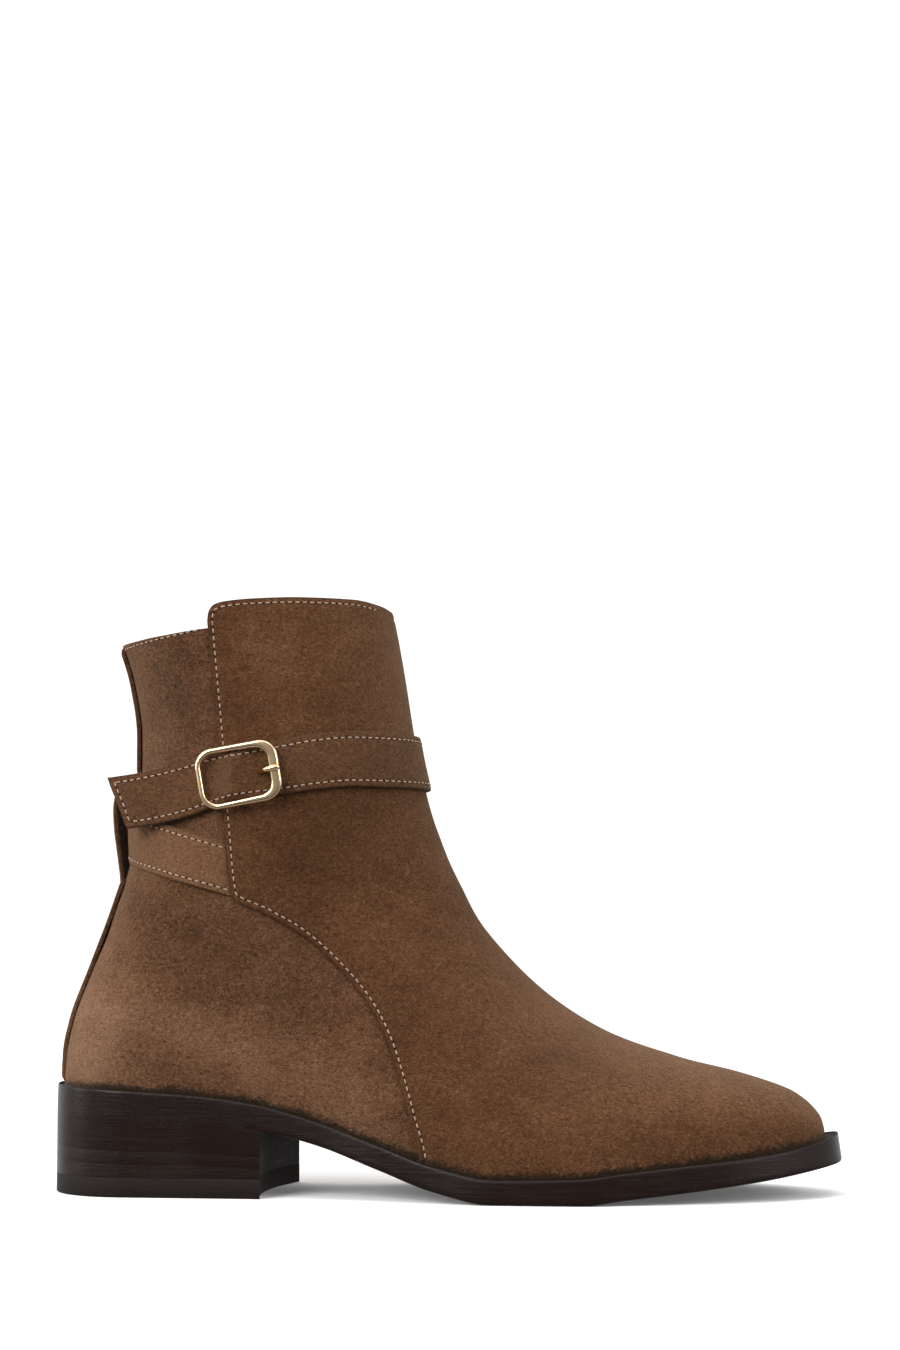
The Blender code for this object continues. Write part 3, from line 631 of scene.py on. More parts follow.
class Paint(Nodes):
    """A material's nodes round its Principled shader."""

    def __init__(self, name: str) -> None:
        """Starts a material of that name."""
        self.material = bpy.data.materials.new(name)
        self.material.use_nodes = True
        super().__init__(self.material.node_tree)
        self.shader = self.tree.nodes["Principled BSDF"]
        self.coords = self.node("ShaderNodeTexCoord").outputs["Object"]

    def attribute(self, name: str) -> Value:
        """A number kept on the mesh's points."""
        return Value(self, self.node("ShaderNodeAttribute", {"attribute_name": name}).outputs["Fac"])

    def noise(
        self,
        scale: float,
        detail: float = 2.0,
        stretch: Colour = (1.0, 1.0, 1.0),
        rough: float = 0.5,
        curl: float = 0.0,
    ) -> Value:
        """Smooth noise about 0.

        Args:
            scale: Features in a metre.
            detail: Finer layers.
            stretch: Factors on the three directions.
            rough: Weight of the finer layers.
            curl: How much its shapes twist.

        Returns:
            Values from about -1 to 1.
        """
        moved = self.node("ShaderNodeVectorMath", {"operation": "MULTIPLY"}, {0: self.coords, 1: stretch})
        inputs = {"Vector": moved.outputs[0], "Scale": scale, "Detail": detail, "Roughness": rough}
        inputs["Distortion"] = curl
        return (Value(self, self.node("ShaderNodeTexNoise", None, inputs).outputs["Fac"]) - 0.5) * 3.0

    def mix(self, factor: Number, first: Any, second: Any) -> Any:
        """A colour between two, as a socket."""
        ends = [(*c, 1.0) if isinstance(c, tuple) else c for c in (first, second)]
        made = self.node("ShaderNodeMix", {"data_type": "RGBA"}, {0: factor, 6: ends[0], 7: ends[1]})
        return made.outputs[2]

    def bump(self, height: Value, depth: float, strength: float = 1.0) -> None:
        """Feeds the shader's normal from a height.

        Args:
            height: Heights from about -1 to 1.
            depth: Millimetres that a height of 1 stands for.
            strength: How strongly it tells.
        """
        inputs = {"Strength": strength, "Distance": depth * MM, "Height": height}
        self.feed(self.shader.inputs["Normal"], self.node("ShaderNodeBump", None, inputs).outputs[0])

    def set(self, **inputs: Any) -> None:
        """Sets the shader's inputs, named in lower case with low lines for spaces."""
        names = {socket.name.lower().replace(" ", "_"): socket.name for socket in self.shader.inputs}
        for name, value in inputs.items():
            if isinstance(value, tuple):
                value = (*value, 1.0)
            self.feed(self.shader.inputs[names[name]], value)


@dataclass(frozen=True)
class Suede:
    """Suede mottled by the lie of its nap and by painted light and shade, curly in grain and pale where it is
    seen edge on.
    """

    name: str
    dark: Colour = (0.026, 0.0115, 0.0050)
    middle: Colour = (0.078, 0.0300, 0.0108)
    light: Colour = (0.242, 0.124, 0.0630)
    mottle: float = 0.34
    nap: float = 1.45
    curls: float = 1500.0
    # Colour of the dark band just above the sole: roughened suede and painted shade in the joint.
    feather_dark_and_shade: Colour = (0.012, 0.007, 0.0045)
    on_sole: bool = False

    def material(self) -> bpy.types.Material:
        """The finish as a material."""
        paint = Paint(self.name)
        cloud = paint.noise(26.0, 3.0, (1.0, 1.0, 0.8))
        patch = paint.noise(95.0, 3.0, (1.0, 1.0, 1.5))
        curl = paint.noise(self.curls, 2.0, (0.8, 1.0, 1.2), 0.6, 1.4)
        tuft = paint.noise(0.42 * self.curls, 1.0)
        # The mark read here adds painted light and shade from the patches to the nap's random mottle.
        lie = paint.attribute("nap_and_painted_light") + self.mottle * (1.2 * cloud + 0.65 * patch)
        lie = lie + self.nap * (curl + 0.18 * tuft)
        colour = paint.mix((0.0 - lie).clamp(), self.middle, self.dark)
        colour = paint.mix((0.5 * lie).clamp(), colour, self.light)
        # A dark band just above the sole: partly roughened suede, partly painted shade in the joint between
        # upper and sole.
        if self.on_sole:
            above = paint.attribute("above") + 1.1 * patch + 1.3 * curl + 0.6 * tuft
            colour = paint.mix(0.94 * (1.0 - above.step(1.2, 3.8)), colour, self.feather_dark_and_shade)
        # Darker along edges: partly the raw edge's own colour, partly painted shade at the steps of the panel
        # and strap edges and beside the back strip.
        edge_dark_and_shade = 1.0 - paint.attribute("edge").step(0.0, 0.8)
        colour = paint.mix(0.7 * edge_dark_and_shade, colour, self.dark)
        paint.set(base_color=colour, roughness=0.94, specular_ior_level=0.1)
        paint.set(sheen_weight=0.22, sheen_roughness=0.42, sheen_tint=(0.95, 0.67, 0.45))
        paint.bump(0.7 * curl + 0.4 * tuft + 0.2 * patch, 0.3)
        return paint.material


@dataclass(frozen=True)
class SoleLeather:
    """Near-black leather with a satin edge finish and faint lines along its layers."""

    name: str = "sole_edge"
    colour: Colour = (0.0105, 0.0054, 0.0042)
    worn: Colour = (0.030, 0.020, 0.0165)
    groove: Colour = (0.012, 0.0065, 0.0045)
    scratch: Colour = (0.060, 0.046, 0.038)
    rough: float = 0.31

    def material(self) -> bpy.types.Material:
        """The finish as a material."""
        paint = Paint(self.name)
        lines = paint.noise(60.0, 4.0, (1.0, 1.0, 26.0), 0.65)
        cloud = paint.noise(45.0, 3.0)
        specks = paint.noise(900.0, 2.0)
        groove = paint.attribute("groove")
        wear = (0.30 * lines + 0.25 * cloud + 0.15 * specks).clamp()
        colour = paint.mix(wear, self.colour, self.worn)
        colour = paint.mix(groove * (0.55 + 0.45 * specks).clamp(), colour, self.groove)
        streaks = paint.noise(110.0, 3.0, (0.5, 0.5, 5.0), 0.6)
        colour = paint.mix(0.7 * groove * (streaks + 0.3 * specks).step(0.15, 0.6), colour, self.scratch)
        rough = self.rough + 0.07 * lines + 0.06 * cloud + 0.45 * groove
        paint.set(base_color=colour, roughness=rough.clamp(0.2, 0.95), specular_ior_level=0.15)
        paint.bump(0.5 * lines + 0.4 * specks + groove * specks * 2.0, 0.09, 0.6)
        return paint.material


@dataclass(frozen=True)
class Rubber:
    """Dull brown-black rubber of the heel's top piece."""

    name: str = "heel_rubber"
    colour: Colour = (0.0095, 0.0058, 0.0045)
    worn: Colour = (0.024, 0.016, 0.0125)

    def material(self) -> bpy.types.Material:
        """The finish as a material."""
        paint = Paint(self.name)
        lines = paint.noise(55.0, 4.0, (1.0, 1.0, 18.0), 0.65)
        specks = paint.noise(800.0, 2.0)
        paint.set(base_color=paint.mix((0.3 * lines + 0.2 * specks).clamp(), self.colour, self.worn))
        rough = 0.58 + 0.06 * lines + 0.35 * paint.attribute("groove")
        paint.set(roughness=rough.clamp(), specular_ior_level=0.15)
        paint.bump(0.4 * lines + 0.5 * specks, 0.08, 0.6)
        return paint.material


@dataclass(frozen=True)
class Lining:
    """Smooth tan leather inside."""

    name: str = "lining_leather"
    colour: Colour = (0.33, 0.21, 0.125)
    shade: Colour = (0.24, 0.145, 0.085)

    def material(self) -> bpy.types.Material:
        """The finish as a material."""
        paint = Paint(self.name)
        cloud, pores = paint.noise(40.0, 3.0), paint.noise(1400.0, 2.0)
        paint.set(base_color=paint.mix((0.4 + 0.4 * cloud).clamp(), self.colour, self.shade))
        paint.set(roughness=0.62, specular_ior_level=0.35)
        paint.bump(pores, 0.06, 0.5)
        return paint.material


@dataclass(frozen=True)
class Thread:
    """Pale waxed thread."""

    name: str = "thread"
    colour: Colour = (0.42, 0.30, 0.225)
    shade: Colour = (0.26, 0.18, 0.13)

    def material(self) -> bpy.types.Material:
        """The finish as a material."""
        paint = Paint(self.name)
        twist = (0.5 + 0.5 * paint.noise(420.0, 1.0)).clamp()
        paint.set(base_color=paint.mix(twist, self.colour, self.shade))
        paint.set(roughness=0.6, specular_ior_level=0.3)
        return paint.material


@dataclass(frozen=True)
class HoleShade:
    """Painted shade: the dark inside a needle hole, laid on the surface as a dark dot."""

    name: str = "needle_hole"
    colour: Colour = (0.010, 0.005, 0.003)

    def material(self) -> bpy.types.Material:
        """The finish as a material."""
        paint = Paint(self.name)
        paint.set(base_color=self.colour, roughness=1.0, specular_ior_level=0.0)
        return paint.material


@dataclass(frozen=True)
class PaleGold:
    """Polished pale gold plate."""

    name: str = "gold_plate"
    colour: Colour = (0.82, 0.59, 0.35)

    def material(self) -> bpy.types.Material:
        """The finish as a material."""
        paint = Paint(self.name)
        wear = paint.noise(160.0, 3.0)
        paint.set(base_color=self.colour, metallic=1.0, roughness=(0.15 + 0.04 * wear).clamp(0.08, 0.3))
        return paint.material


class Bench:
    """Modelling steps that the pieces share."""

    @staticmethod
    def clear() -> None:
        """Deselects everything."""
        bpy.ops.object.select_all(action="DESELECT")

    @staticmethod
    def only(piece: bpy.types.Object) -> None:
        """Makes a piece the only one selected, and active."""
        Bench.clear()
        piece.select_set(True)
        bpy.context.view_layer.objects.active = piece

    @staticmethod
    def named(name: str) -> bpy.types.Object:
        """Names the primitive just added, and its mesh."""
        piece = bpy.context.object
        piece.name = piece.data.name = name
        return piece

    @staticmethod
    def apply(piece: bpy.types.Object, kind: str, **settings: Any) -> None:
        """Adds a modifier with its settings and applies it."""
        Bench.only(piece)
        modifier = piece.modifiers.new(kind.title(), kind)
        for name, value in settings.items():
            setattr(modifier, name, value)
        bpy.ops.object.modifier_apply(modifier=modifier.name)

    @staticmethod
    def bevel(piece: bpy.types.Object, width: float, segments: int, angle: float) -> None:
        """Rounds the edges that are sharper than an angle in degrees, by a width in millimetres."""
        limit = {"limit_method": "ANGLE", "angle_limit": math.radians(angle)}
        Bench.apply(piece, "BEVEL", width=width * MM, segments=segments, **limit)

    @staticmethod
    def tidy(piece: bpy.types.Object) -> None:
        """Merges points that meet and turns all faces the same way, outwards on a closed piece."""
        Bench.only(piece)
        bpy.ops.object.mode_set(mode="EDIT")
        bpy.ops.mesh.select_all(action="SELECT")
        bpy.ops.mesh.remove_doubles(threshold=0.00001)
        bpy.ops.mesh.normals_make_consistent(inside=False)
        bpy.ops.object.mode_set(mode="OBJECT")

    @staticmethod
    def smooth(piece: bpy.types.Object, angle: float = 40.0) -> None:
        """Shades smooth, with sharp edges above an angle in degrees."""
        Bench.only(piece)
        bpy.ops.object.shade_smooth_by_angle(angle=math.radians(angle))

    @staticmethod
    def sheet(name: str, points: Array, marks: dict[str, Array] | None = None) -> bpy.types.Object:
        """A grid primitive wrapped to rows of points.

        Args:
            name: The piece's name.
            points: The grid in millimetres, rows by columns by three.
            marks: Numbers kept on the points, by name.

        Returns:
            The piece, not yet tidied.
        """
        rows, columns = points.shape[:2]
        Bench.clear()
        bpy.ops.mesh.primitive_grid_add(x_subdivisions=columns - 1, y_subdivisions=rows - 1, size=2.0)
        piece = Bench.named(name)
        mesh = piece.data
        flat = np.zeros(len(mesh.vertices) * 3)
        mesh.vertices.foreach_get("co", flat)
        flat = flat.reshape(-1, 3)
        column = np.rint((flat[:, 0] + 1) / 2 * (columns - 1)).astype(int)
        row = np.rint((flat[:, 1] + 1) / 2 * (rows - 1)).astype(int)
        mesh.vertices.foreach_set("co", (points[row, column] * MM).ravel())
        for mark, values in (marks or {}).items():
            layer = mesh.attributes.new(mark, "FLOAT", "POINT")
            layer.data.foreach_set("value", values[row, column].astype(np.float32))
        mesh.update()
        return piece

    @staticmethod
    def face_out(piece: bpy.types.Object, outward: Array) -> None:
        """Turns an open sheet's faces so that its middle face looks outward."""
        Bench.tidy(piece)
        middle = piece.data.polygons[len(piece.data.polygons) // 2]
        if np.array(middle.normal) @ np.asarray(outward) < 0:
            piece.data.flip_normals()

    @staticmethod
    def thicken(piece: bpy.types.Object, thick: float, soft: float, inner: int = 0) -> None:
        """Gives a sheet thickness on its inner side and rounds its rim.

        Args:
            piece: The sheet, its faces outwards.
            thick: Thickness in millimetres.
            soft: Radius of the rim's edges in millimetres.
            inner: How many material slots further the inner side's material is.
        """
        Bench.apply(piece, "SOLIDIFY", thickness=thick * MM, offset=-1.0, material_offset=inner)
        Bench.bevel(piece, soft, 2, 55.0)

    @staticmethod
    def dress(piece: bpy.types.Object, slot: Slot, *materials: bpy.types.Material) -> None:
        """Gives a piece its materials."""
        for material in materials:
            piece.data.materials.append(material)

    @staticmethod
    def done(piece: bpy.types.Object, *nodes: str) -> bpy.types.Object:
        """Fixes a piece to the boot in place of CAD nodes and reports it."""
        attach(piece, "root")
        if nodes:
            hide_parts(*nodes)
        log.info("%s: %d faces", piece.name, len(piece.data.polygons))
        return piece

    @staticmethod
    def sewn(
        piece: bpy.types.Object,
        outward: Colour,
        slot: Slot,
        finishes: Sequence[bpy.types.Material],
        thick: float,
        soft: float,
        *nodes: str,
    ) -> bpy.types.Object:
        """Finishes a sheet of suede or leather.

        Args:
            piece: The sheet.
            outward: Roughly its outward direction.
            slot: The record's slot, not used.
            finishes: Its outer finish, and its inner one where that differs.
            thick: Thickness in millimetres.
            soft: Radius of the rim's edges in millimetres.
            nodes: CAD nodes that it takes the place of.

        Returns:
            The piece, fixed to the boot.
        """
        Bench.face_out(piece, np.array(outward))
        Bench.dress(piece, slot, *finishes)
        Bench.thicken(piece, thick, soft, len(finishes) - 1)
        Bench.smooth(piece)
        return Bench.done(piece, *nodes)

    @staticmethod
    def tree(piece: bpy.types.Object) -> BVHTree:
        """A finished piece's surface in metres."""
        mesh = piece.data
        faces = [tuple(face.vertices) for face in mesh.polygons]
        return BVHTree.FromPolygons([vertex.co for vertex in mesh.vertices], faces)

    @staticmethod
    def tube(name: str, path: Array, radii: Sequence[float]) -> bpy.types.Object:
        """A round wire along a path, from a bevelled curve.

        Args:
            name: The piece's name.
            path: Points in millimetres.
            radii: Radius at each point in millimetres.

        Returns:
            The wire as a mesh with closed ends.
        """
        line = bpy.data.curves.new(name, "CURVE")
        line.dimensions = "3D"
        line.bevel_depth, line.bevel_resolution, line.use_fill_caps = MM, 5, True
        spline = line.splines.new("POLY")
        spline.points.add(len(path) - 1)
        for point, place, radius in zip(spline.points, path, radii):
            point.co = (*(float(c) * MM for c in place), 1.0)
            point.radius = float(radius)
        piece = bpy.data.objects.new(name, line)
        bpy.context.scene.collection.objects.link(piece)
        Bench.only(piece)
        bpy.ops.object.convert(target="MESH")
        piece = Bench.named(name)
        Bench.tidy(piece)
        return piece


@dataclass
class Upper:
    """Front panel, back quarters, collar lining and back strip."""

    last: Last
    line: PanelLine
    panel_step: float = 1.1
    panel_thick: float = 1.0
    quarter_thick: float = 1.6
    lining_thick: float = 1.5
    lining_drop: float = 0.4
    lap: float = 5.0
    roll: float = 0.35
    trough: float = 0.25
    sewn_width: float = 0.6
    row_step: float = 1.5
    side_columns: int = 52
    blend_from: float = 17.0
    fan_end: float = 21.0
    collar_from: float = 19.5
    edge_columns: tuple[float, ...] = (0.0, 0.003, 0.007, 0.011, 0.015, 0.019, 0.024, 0.030, 0.038)
    panel_out: Colour = (0.3, 0.0, 1.0)
    collar_out: Colour = (1.0, 0.0, 0.3)
    panel_soft: float = 0.22
    soft: float = 0.3
    quarter_rows: int = 118
    quarter_columns: int = 64
    quarter_gather: float = 1.7
    lap_top: float = 188.0
    collar_row: tuple[float, float] = (-112.0, -78.5)
    strip_half: float = 13.0
    strip_proud: float = 1.1
    strip_thick: float = 1.4
    strip_rim: float = 0.8
    strip_bed: float = 0.4
    strip_bed_half: float = 22.0
    strip_spans: Table = ((37.0, 105.0), (139.6, 183.4))
    strip_from: float = -60.0
    strip_soft: float = 0.25
    strip_ends: float = 2.0
    strip_rows: int = 70
    strip_columns: int = 24
    creases: tuple[Crease, ...] = (
        Crease(((-104.0, 100.0), (-92.0, 92.0), (-78.0, 88.0)), 5.0, 0.5),
        Crease(((-112.0, 84.0), (-100.0, 74.0), (-84.0, 68.0)), 7.0, 0.45),
        Crease(((-98.0, 178.0), (-96.0, 160.0), (-97.0, 146.0)), 5.0, 0.5),
        Crease(((-86.0, 182.0), (-84.0, 166.0), (-86.0, 152.0)), 4.0, -0.35),
        Crease(((-24.0, 122.0), (-32.0, 110.0), (-44.0, 102.0)), 8.0, 0.55),
        Crease(((-10.0, 104.0), (-18.0, 92.0), (-30.0, 84.0)), 9.0, 0.45),
        Crease(((24.0, 62.0), (18.0, 48.0), (14.0, 34.0)), 9.0, 0.5),
        Crease(((44.0, 50.0), (40.0, 38.0), (38.0, 26.0)), 7.0, 0.4),
        Crease(((-50.0, 182.0), (-48.0, 168.0), (-50.0, 158.0)), 7.0, 0.4),
        Crease(((6.0, 100.0), (13.0, 88.0), (30.0, 70.0), (48.0, 57.0), (72.0, 47.0)), 9.0, -0.35, BOTH),
    )
    # Patches of nap and of painted light and shade: some, such as the lighter low back of the heel and the
    # lighter ridge of the foot, are painted light.
    patches: tuple[NapAndLightPatch, ...] = (
        NapAndLightPatch((-120.0, 47.0), (18.0, 24.0), 10.0, 1.1),
        NapAndLightPatch((-84.0, 55.0), (42.0, 8.0), -14.0, 0.5),
        NapAndLightPatch((-60.0, 40.0), (30.0, 6.0), -24.0, 0.3),
        NapAndLightPatch((-96.0, 92.0), (24.0, 7.0), -20.0, -0.22),
        NapAndLightPatch((-86.0, 162.0), (13.0, 32.0), 0.0, -0.38),
        NapAndLightPatch((-100.0, 70.0), (18.0, 6.0), -35.0, 0.2),
        NapAndLightPatch((-30.0, 34.0), (24.0, 11.0), -30.0, 0.2),
        NapAndLightPatch((60.0, 50.0), (60.0, 6.0), -20.0, 0.2),
        NapAndLightPatch((-14.0, 158.0), (9.0, 40.0), 3.0, 0.4),
        NapAndLightPatch((-30.0, 186.0), (14.0, 14.0), 0.0, 0.25),
        NapAndLightPatch((-52.0, 172.0), (9.0, 26.0), 8.0, 0.16),
        NapAndLightPatch((-42.0, 122.0), (20.0, 10.0), 30.0, -0.18),
        NapAndLightPatch((-6.0, 76.0), (26.0, 9.0), -40.0, 0.16),
        NapAndLightPatch((30.0, 40.0), (26.0, 9.0), 20.0, -0.16),
        NapAndLightPatch((86.0, 30.0), (20.0, 8.0), 0.0, 0.12),
    )

    def settle(self, points: Array, normals: Array, edge: Array, sewn: Array) -> Array:
        """Rolls a sheet's edge over, sinks its stitch line and adds the creases.

        Args:
            points: The grid.
            normals: Its normals.
            edge: Distance of each point from the sheet's edge.
            sewn: Distance of each point from its stitch row.

        Returns:
            The moved grid.
        """
        sink = self.roll * np.exp(-((edge / self.sewn_width) ** 2))
        sink += self.trough * np.exp(-((sewn / self.sewn_width) ** 2))
        for crease in self.creases:
            sink = sink + crease.sink(points)
        return points - normals * sink[..., None]

    def panel_grid(self, first: float, drop: float) -> Array:
        """Both sides of the front panel on the form.

        Args:
            first: Section where the grid starts, 0 for the toe.
            drop: How far below the collar line it ends.

        Returns:
            Rows from the toe to the collar, columns from the outer edge over the ridge to the inner edge.
        """
        last, line = self.last, self.line
        fine = np.linspace(first, self.fan_end, 1500)
        ridge, edge = last.place(fine, 1.0, LATERAL), last.place(fine, line.share(fine), LATERAL)
        run = np.maximum(path_run(ridge), path_run(edge))
        ks = np.interp(np.linspace(0, run[-1], int(run[-1] / self.row_step)), run, fine)
        shares = np.concatenate([self.edge_columns, np.linspace(0.05, 1.0, self.side_columns)])
        spread = np.sin(math.pi / 2 * shares)

        def over_collar(k: Array) -> Array:
            """Above zero past the collar line."""
            share = line.share(k)
            point = last.place(k, share + (1 - share) * spread, LATERAL)
            return point[:, 2] - line.collar_z(point[:, 0]) + drop

        least, most = (np.full(len(spread), float(k)) for k in (self.collar_from, last.end))
        tops = solve(over_collar, least, most)
        rise = np.clip((ks - self.blend_from) / (self.fan_end - self.blend_from), 0, 1)[:, None]
        k = np.where(rise > 0, self.blend_from + rise * (tops[None, :] - self.blend_from), ks[:, None])
        share = line.share(k)
        v = share + (1 - share) * spread
        return np.concatenate([last.place(k, v, LATERAL), last.place(k, v, MEDIAL)[:, -2::-1]], axis=1)

    def marks(self, points: Array, edge: Array) -> dict[str, Array]:
        """Numbers for the finish: distance from the edge, height above the sole, and the lie of the nap with
        painted light and shade.
        """
        nap_and_painted_light = sum(patch.shade(points) for patch in self.patches)
        return {"edge": edge, "above": points[..., 2] - self.last.sole.seat(points[..., 0]), "nap_and_painted_light": nap_and_painted_light}

    def build_panel(self, suede: bpy.types.Material, lining: bpy.types.Material) -> bpy.types.Object:
        """The front panel, from the toe up to the collar."""
        grid = self.panel_grid(0.0, 0.0)
        tip = np.broadcast_to(grid[0].mean(axis=0), grid[:1].shape)
        grid = np.concatenate([tip, grid])
        normals = grid_normals(grid, Vector(self.panel_out))
        normals[0] = (1.0, 0.0, 0.0)
        edge = path_distance(self.line.whole_path(), grid[..., 0], grid[..., 2])
        sewn = path_distance(self.line.stitch_path(), grid[..., 0], grid[..., 2])
        points = self.settle(grid + self.panel_step * normals, normals, edge, sewn)
        piece = Bench.sheet("front_panel", points, self.marks(points, edge))
        both = (suede, lining)
        return Bench.sewn(piece, self.panel_out, Slot.SUEDE, both, self.panel_thick, self.panel_soft, "upper")

    def build_lining(self, lining: bpy.types.Material) -> bpy.types.Object:
        """The leather behind the front panel's collar."""
        grid = self.panel_grid(12.0, self.lining_drop)
        normals = grid_normals(grid, Vector(self.collar_out))
        piece = Bench.sheet("collar_lining", grid - 0.05 * normals)
        return Bench.sewn(piece, self.collar_out, Slot.INSOLE, (lining,), self.lining_thick, self.soft)

    def quarter_places(self) -> Array:
        """Places of the quarters in side view, rows from the sole up and columns from the back forwards."""
        last, line, sole = self.last, self.line, self.last.sole
        low, top = float(sole.seat(last.back)), 184.0
        for _ in range(5):
            top = float(line.back_z(last.back_line(top)))
        s = np.linspace(0, 1, self.quarter_rows)[:, None]
        t = (np.linspace(0, 1, self.quarter_columns) ** self.quarter_gather)[None, :]
        height = low + s * (top - low)
        back = np.stack([last.back_line(height), height], axis=2)
        side = line.side_path(line.foot, self.lap_top)
        lap = line.inset(side, self.lap)
        lap = lap[path_distance(side, lap[:, 0], lap[:, 1]) > self.lap - 0.05]
        lap = lap[lap[:, 1] > sole.seat(lap[:, 0])]
        front = along_path(lap, s[:, 0] * path_run(lap)[-1])[:, None]
        foot_x = last.back + t * (front[0, 0, 0] - last.back)
        foot = np.stack([foot_x, sole.seat(foot_x)], axis=2)
        collar_x = back[-1, 0, 0] + t * (front[-1, 0, 0] - back[-1, 0, 0])
        collar = np.stack([collar_x, line.back_z(collar_x)], axis=2)
        s, t = s[..., None], t[..., None]
        low_ends = (1 - t) * foot[:, :1] + t * foot[:, -1:]
        high_ends = (1 - t) * collar[:, :1] + t * collar[:, -1:]
        return (1 - t) * back + t * front + (1 - s) ** 4 * (foot - low_ends) + s**4 * (collar - high_ends)

    def build_quarters(self, suede: bpy.types.Material, lining: bpy.types.Material) -> bpy.types.Object:
        """Both back quarters, joined at the centre back."""
        places = self.quarter_places()
        x, z = places[..., 0], places[..., 1]
        lateral, medial = (self.last.on_side(x, z, side) for side in (LATERAL, MEDIAL))
        lateral[:, 0, 1] = 0.0
        grid = np.concatenate([lateral[:, ::-1], medial[:, 1:]], axis=1)
        normals = grid_normals(grid, Vector(BACKWARDS))
        collar = np.array([(x, float(self.line.back_z(x))) for x in np.linspace(-140.0, -60.0, 60)])
        edge = path_distance(collar, grid[..., 0], grid[..., 2])
        at_back = grid[..., 0] < self.strip_from
        # Beside the back strip the quarters get the dark edge line too: painted shadow where the strip stands
        # on them.
        beside = np.where(at_back, np.maximum(np.abs(grid[..., 1]) - self.strip_half, 0.0), edge)
        bed = self.strip_bed * np.exp(-((grid[..., 1] / self.strip_bed_half) ** 4)) * at_back
        bedded = grid - normals * bed[..., None]
        points = self.settle(bedded, normals, np.minimum(edge, beside), edge - self.line.collar_in)
        piece = Bench.sheet("back_quarters", points, self.marks(points, np.minimum(edge, beside)))
        return Bench.sewn(piece, BACKWARDS, Slot.SUEDE, (suede, lining), self.quarter_thick, self.soft)

    def build_strip(self, tree: BVHTree, suede: bpy.types.Material) -> list[bpy.types.Object]:
        """The strip sewn down the centre back, in two lengths that the strap parts.

        Args:
            tree: The form round the ankle.
            suede: Its finish.

        Returns:
            The two pieces, from the sole up.
        """
        pieces = []
        across = np.linspace(-1, 1, self.strip_columns)
        for number, (low, high) in enumerate(self.strip_spans):
            heights = np.linspace(low, high, self.strip_rows)
            grid = np.zeros((len(heights), len(across), 3))
            for i, z in enumerate(heights):
                for j, y in enumerate(across * self.strip_half):
                    hit = tree.ray_cast(Vector((self.strip_from, y, z)), Vector(BACKWARDS))[0]
                    grid[i, j] = hit
            normals = grid_normals(grid, Vector(BACKWARDS))
            ends = np.clip(np.minimum(heights - low, high - heights) / self.strip_ends, 0, 1) ** 0.5
            proud = self.strip_proud * np.repeat(ends[:, None], len(across), axis=1)
            edge = np.broadcast_to((1 - np.abs(across)) * self.strip_half + self.strip_rim, proud.shape)
            points = grid + normals * proud[..., None]
            piece = Bench.sheet(f"back_strip_{number + 1}", points, self.marks(points, edge))
            thick, soft = self.strip_thick, self.strip_soft
            pieces.append(Bench.sewn(piece, BACKWARDS, Slot.SUEDE, (suede,), thick, soft))
        return pieces


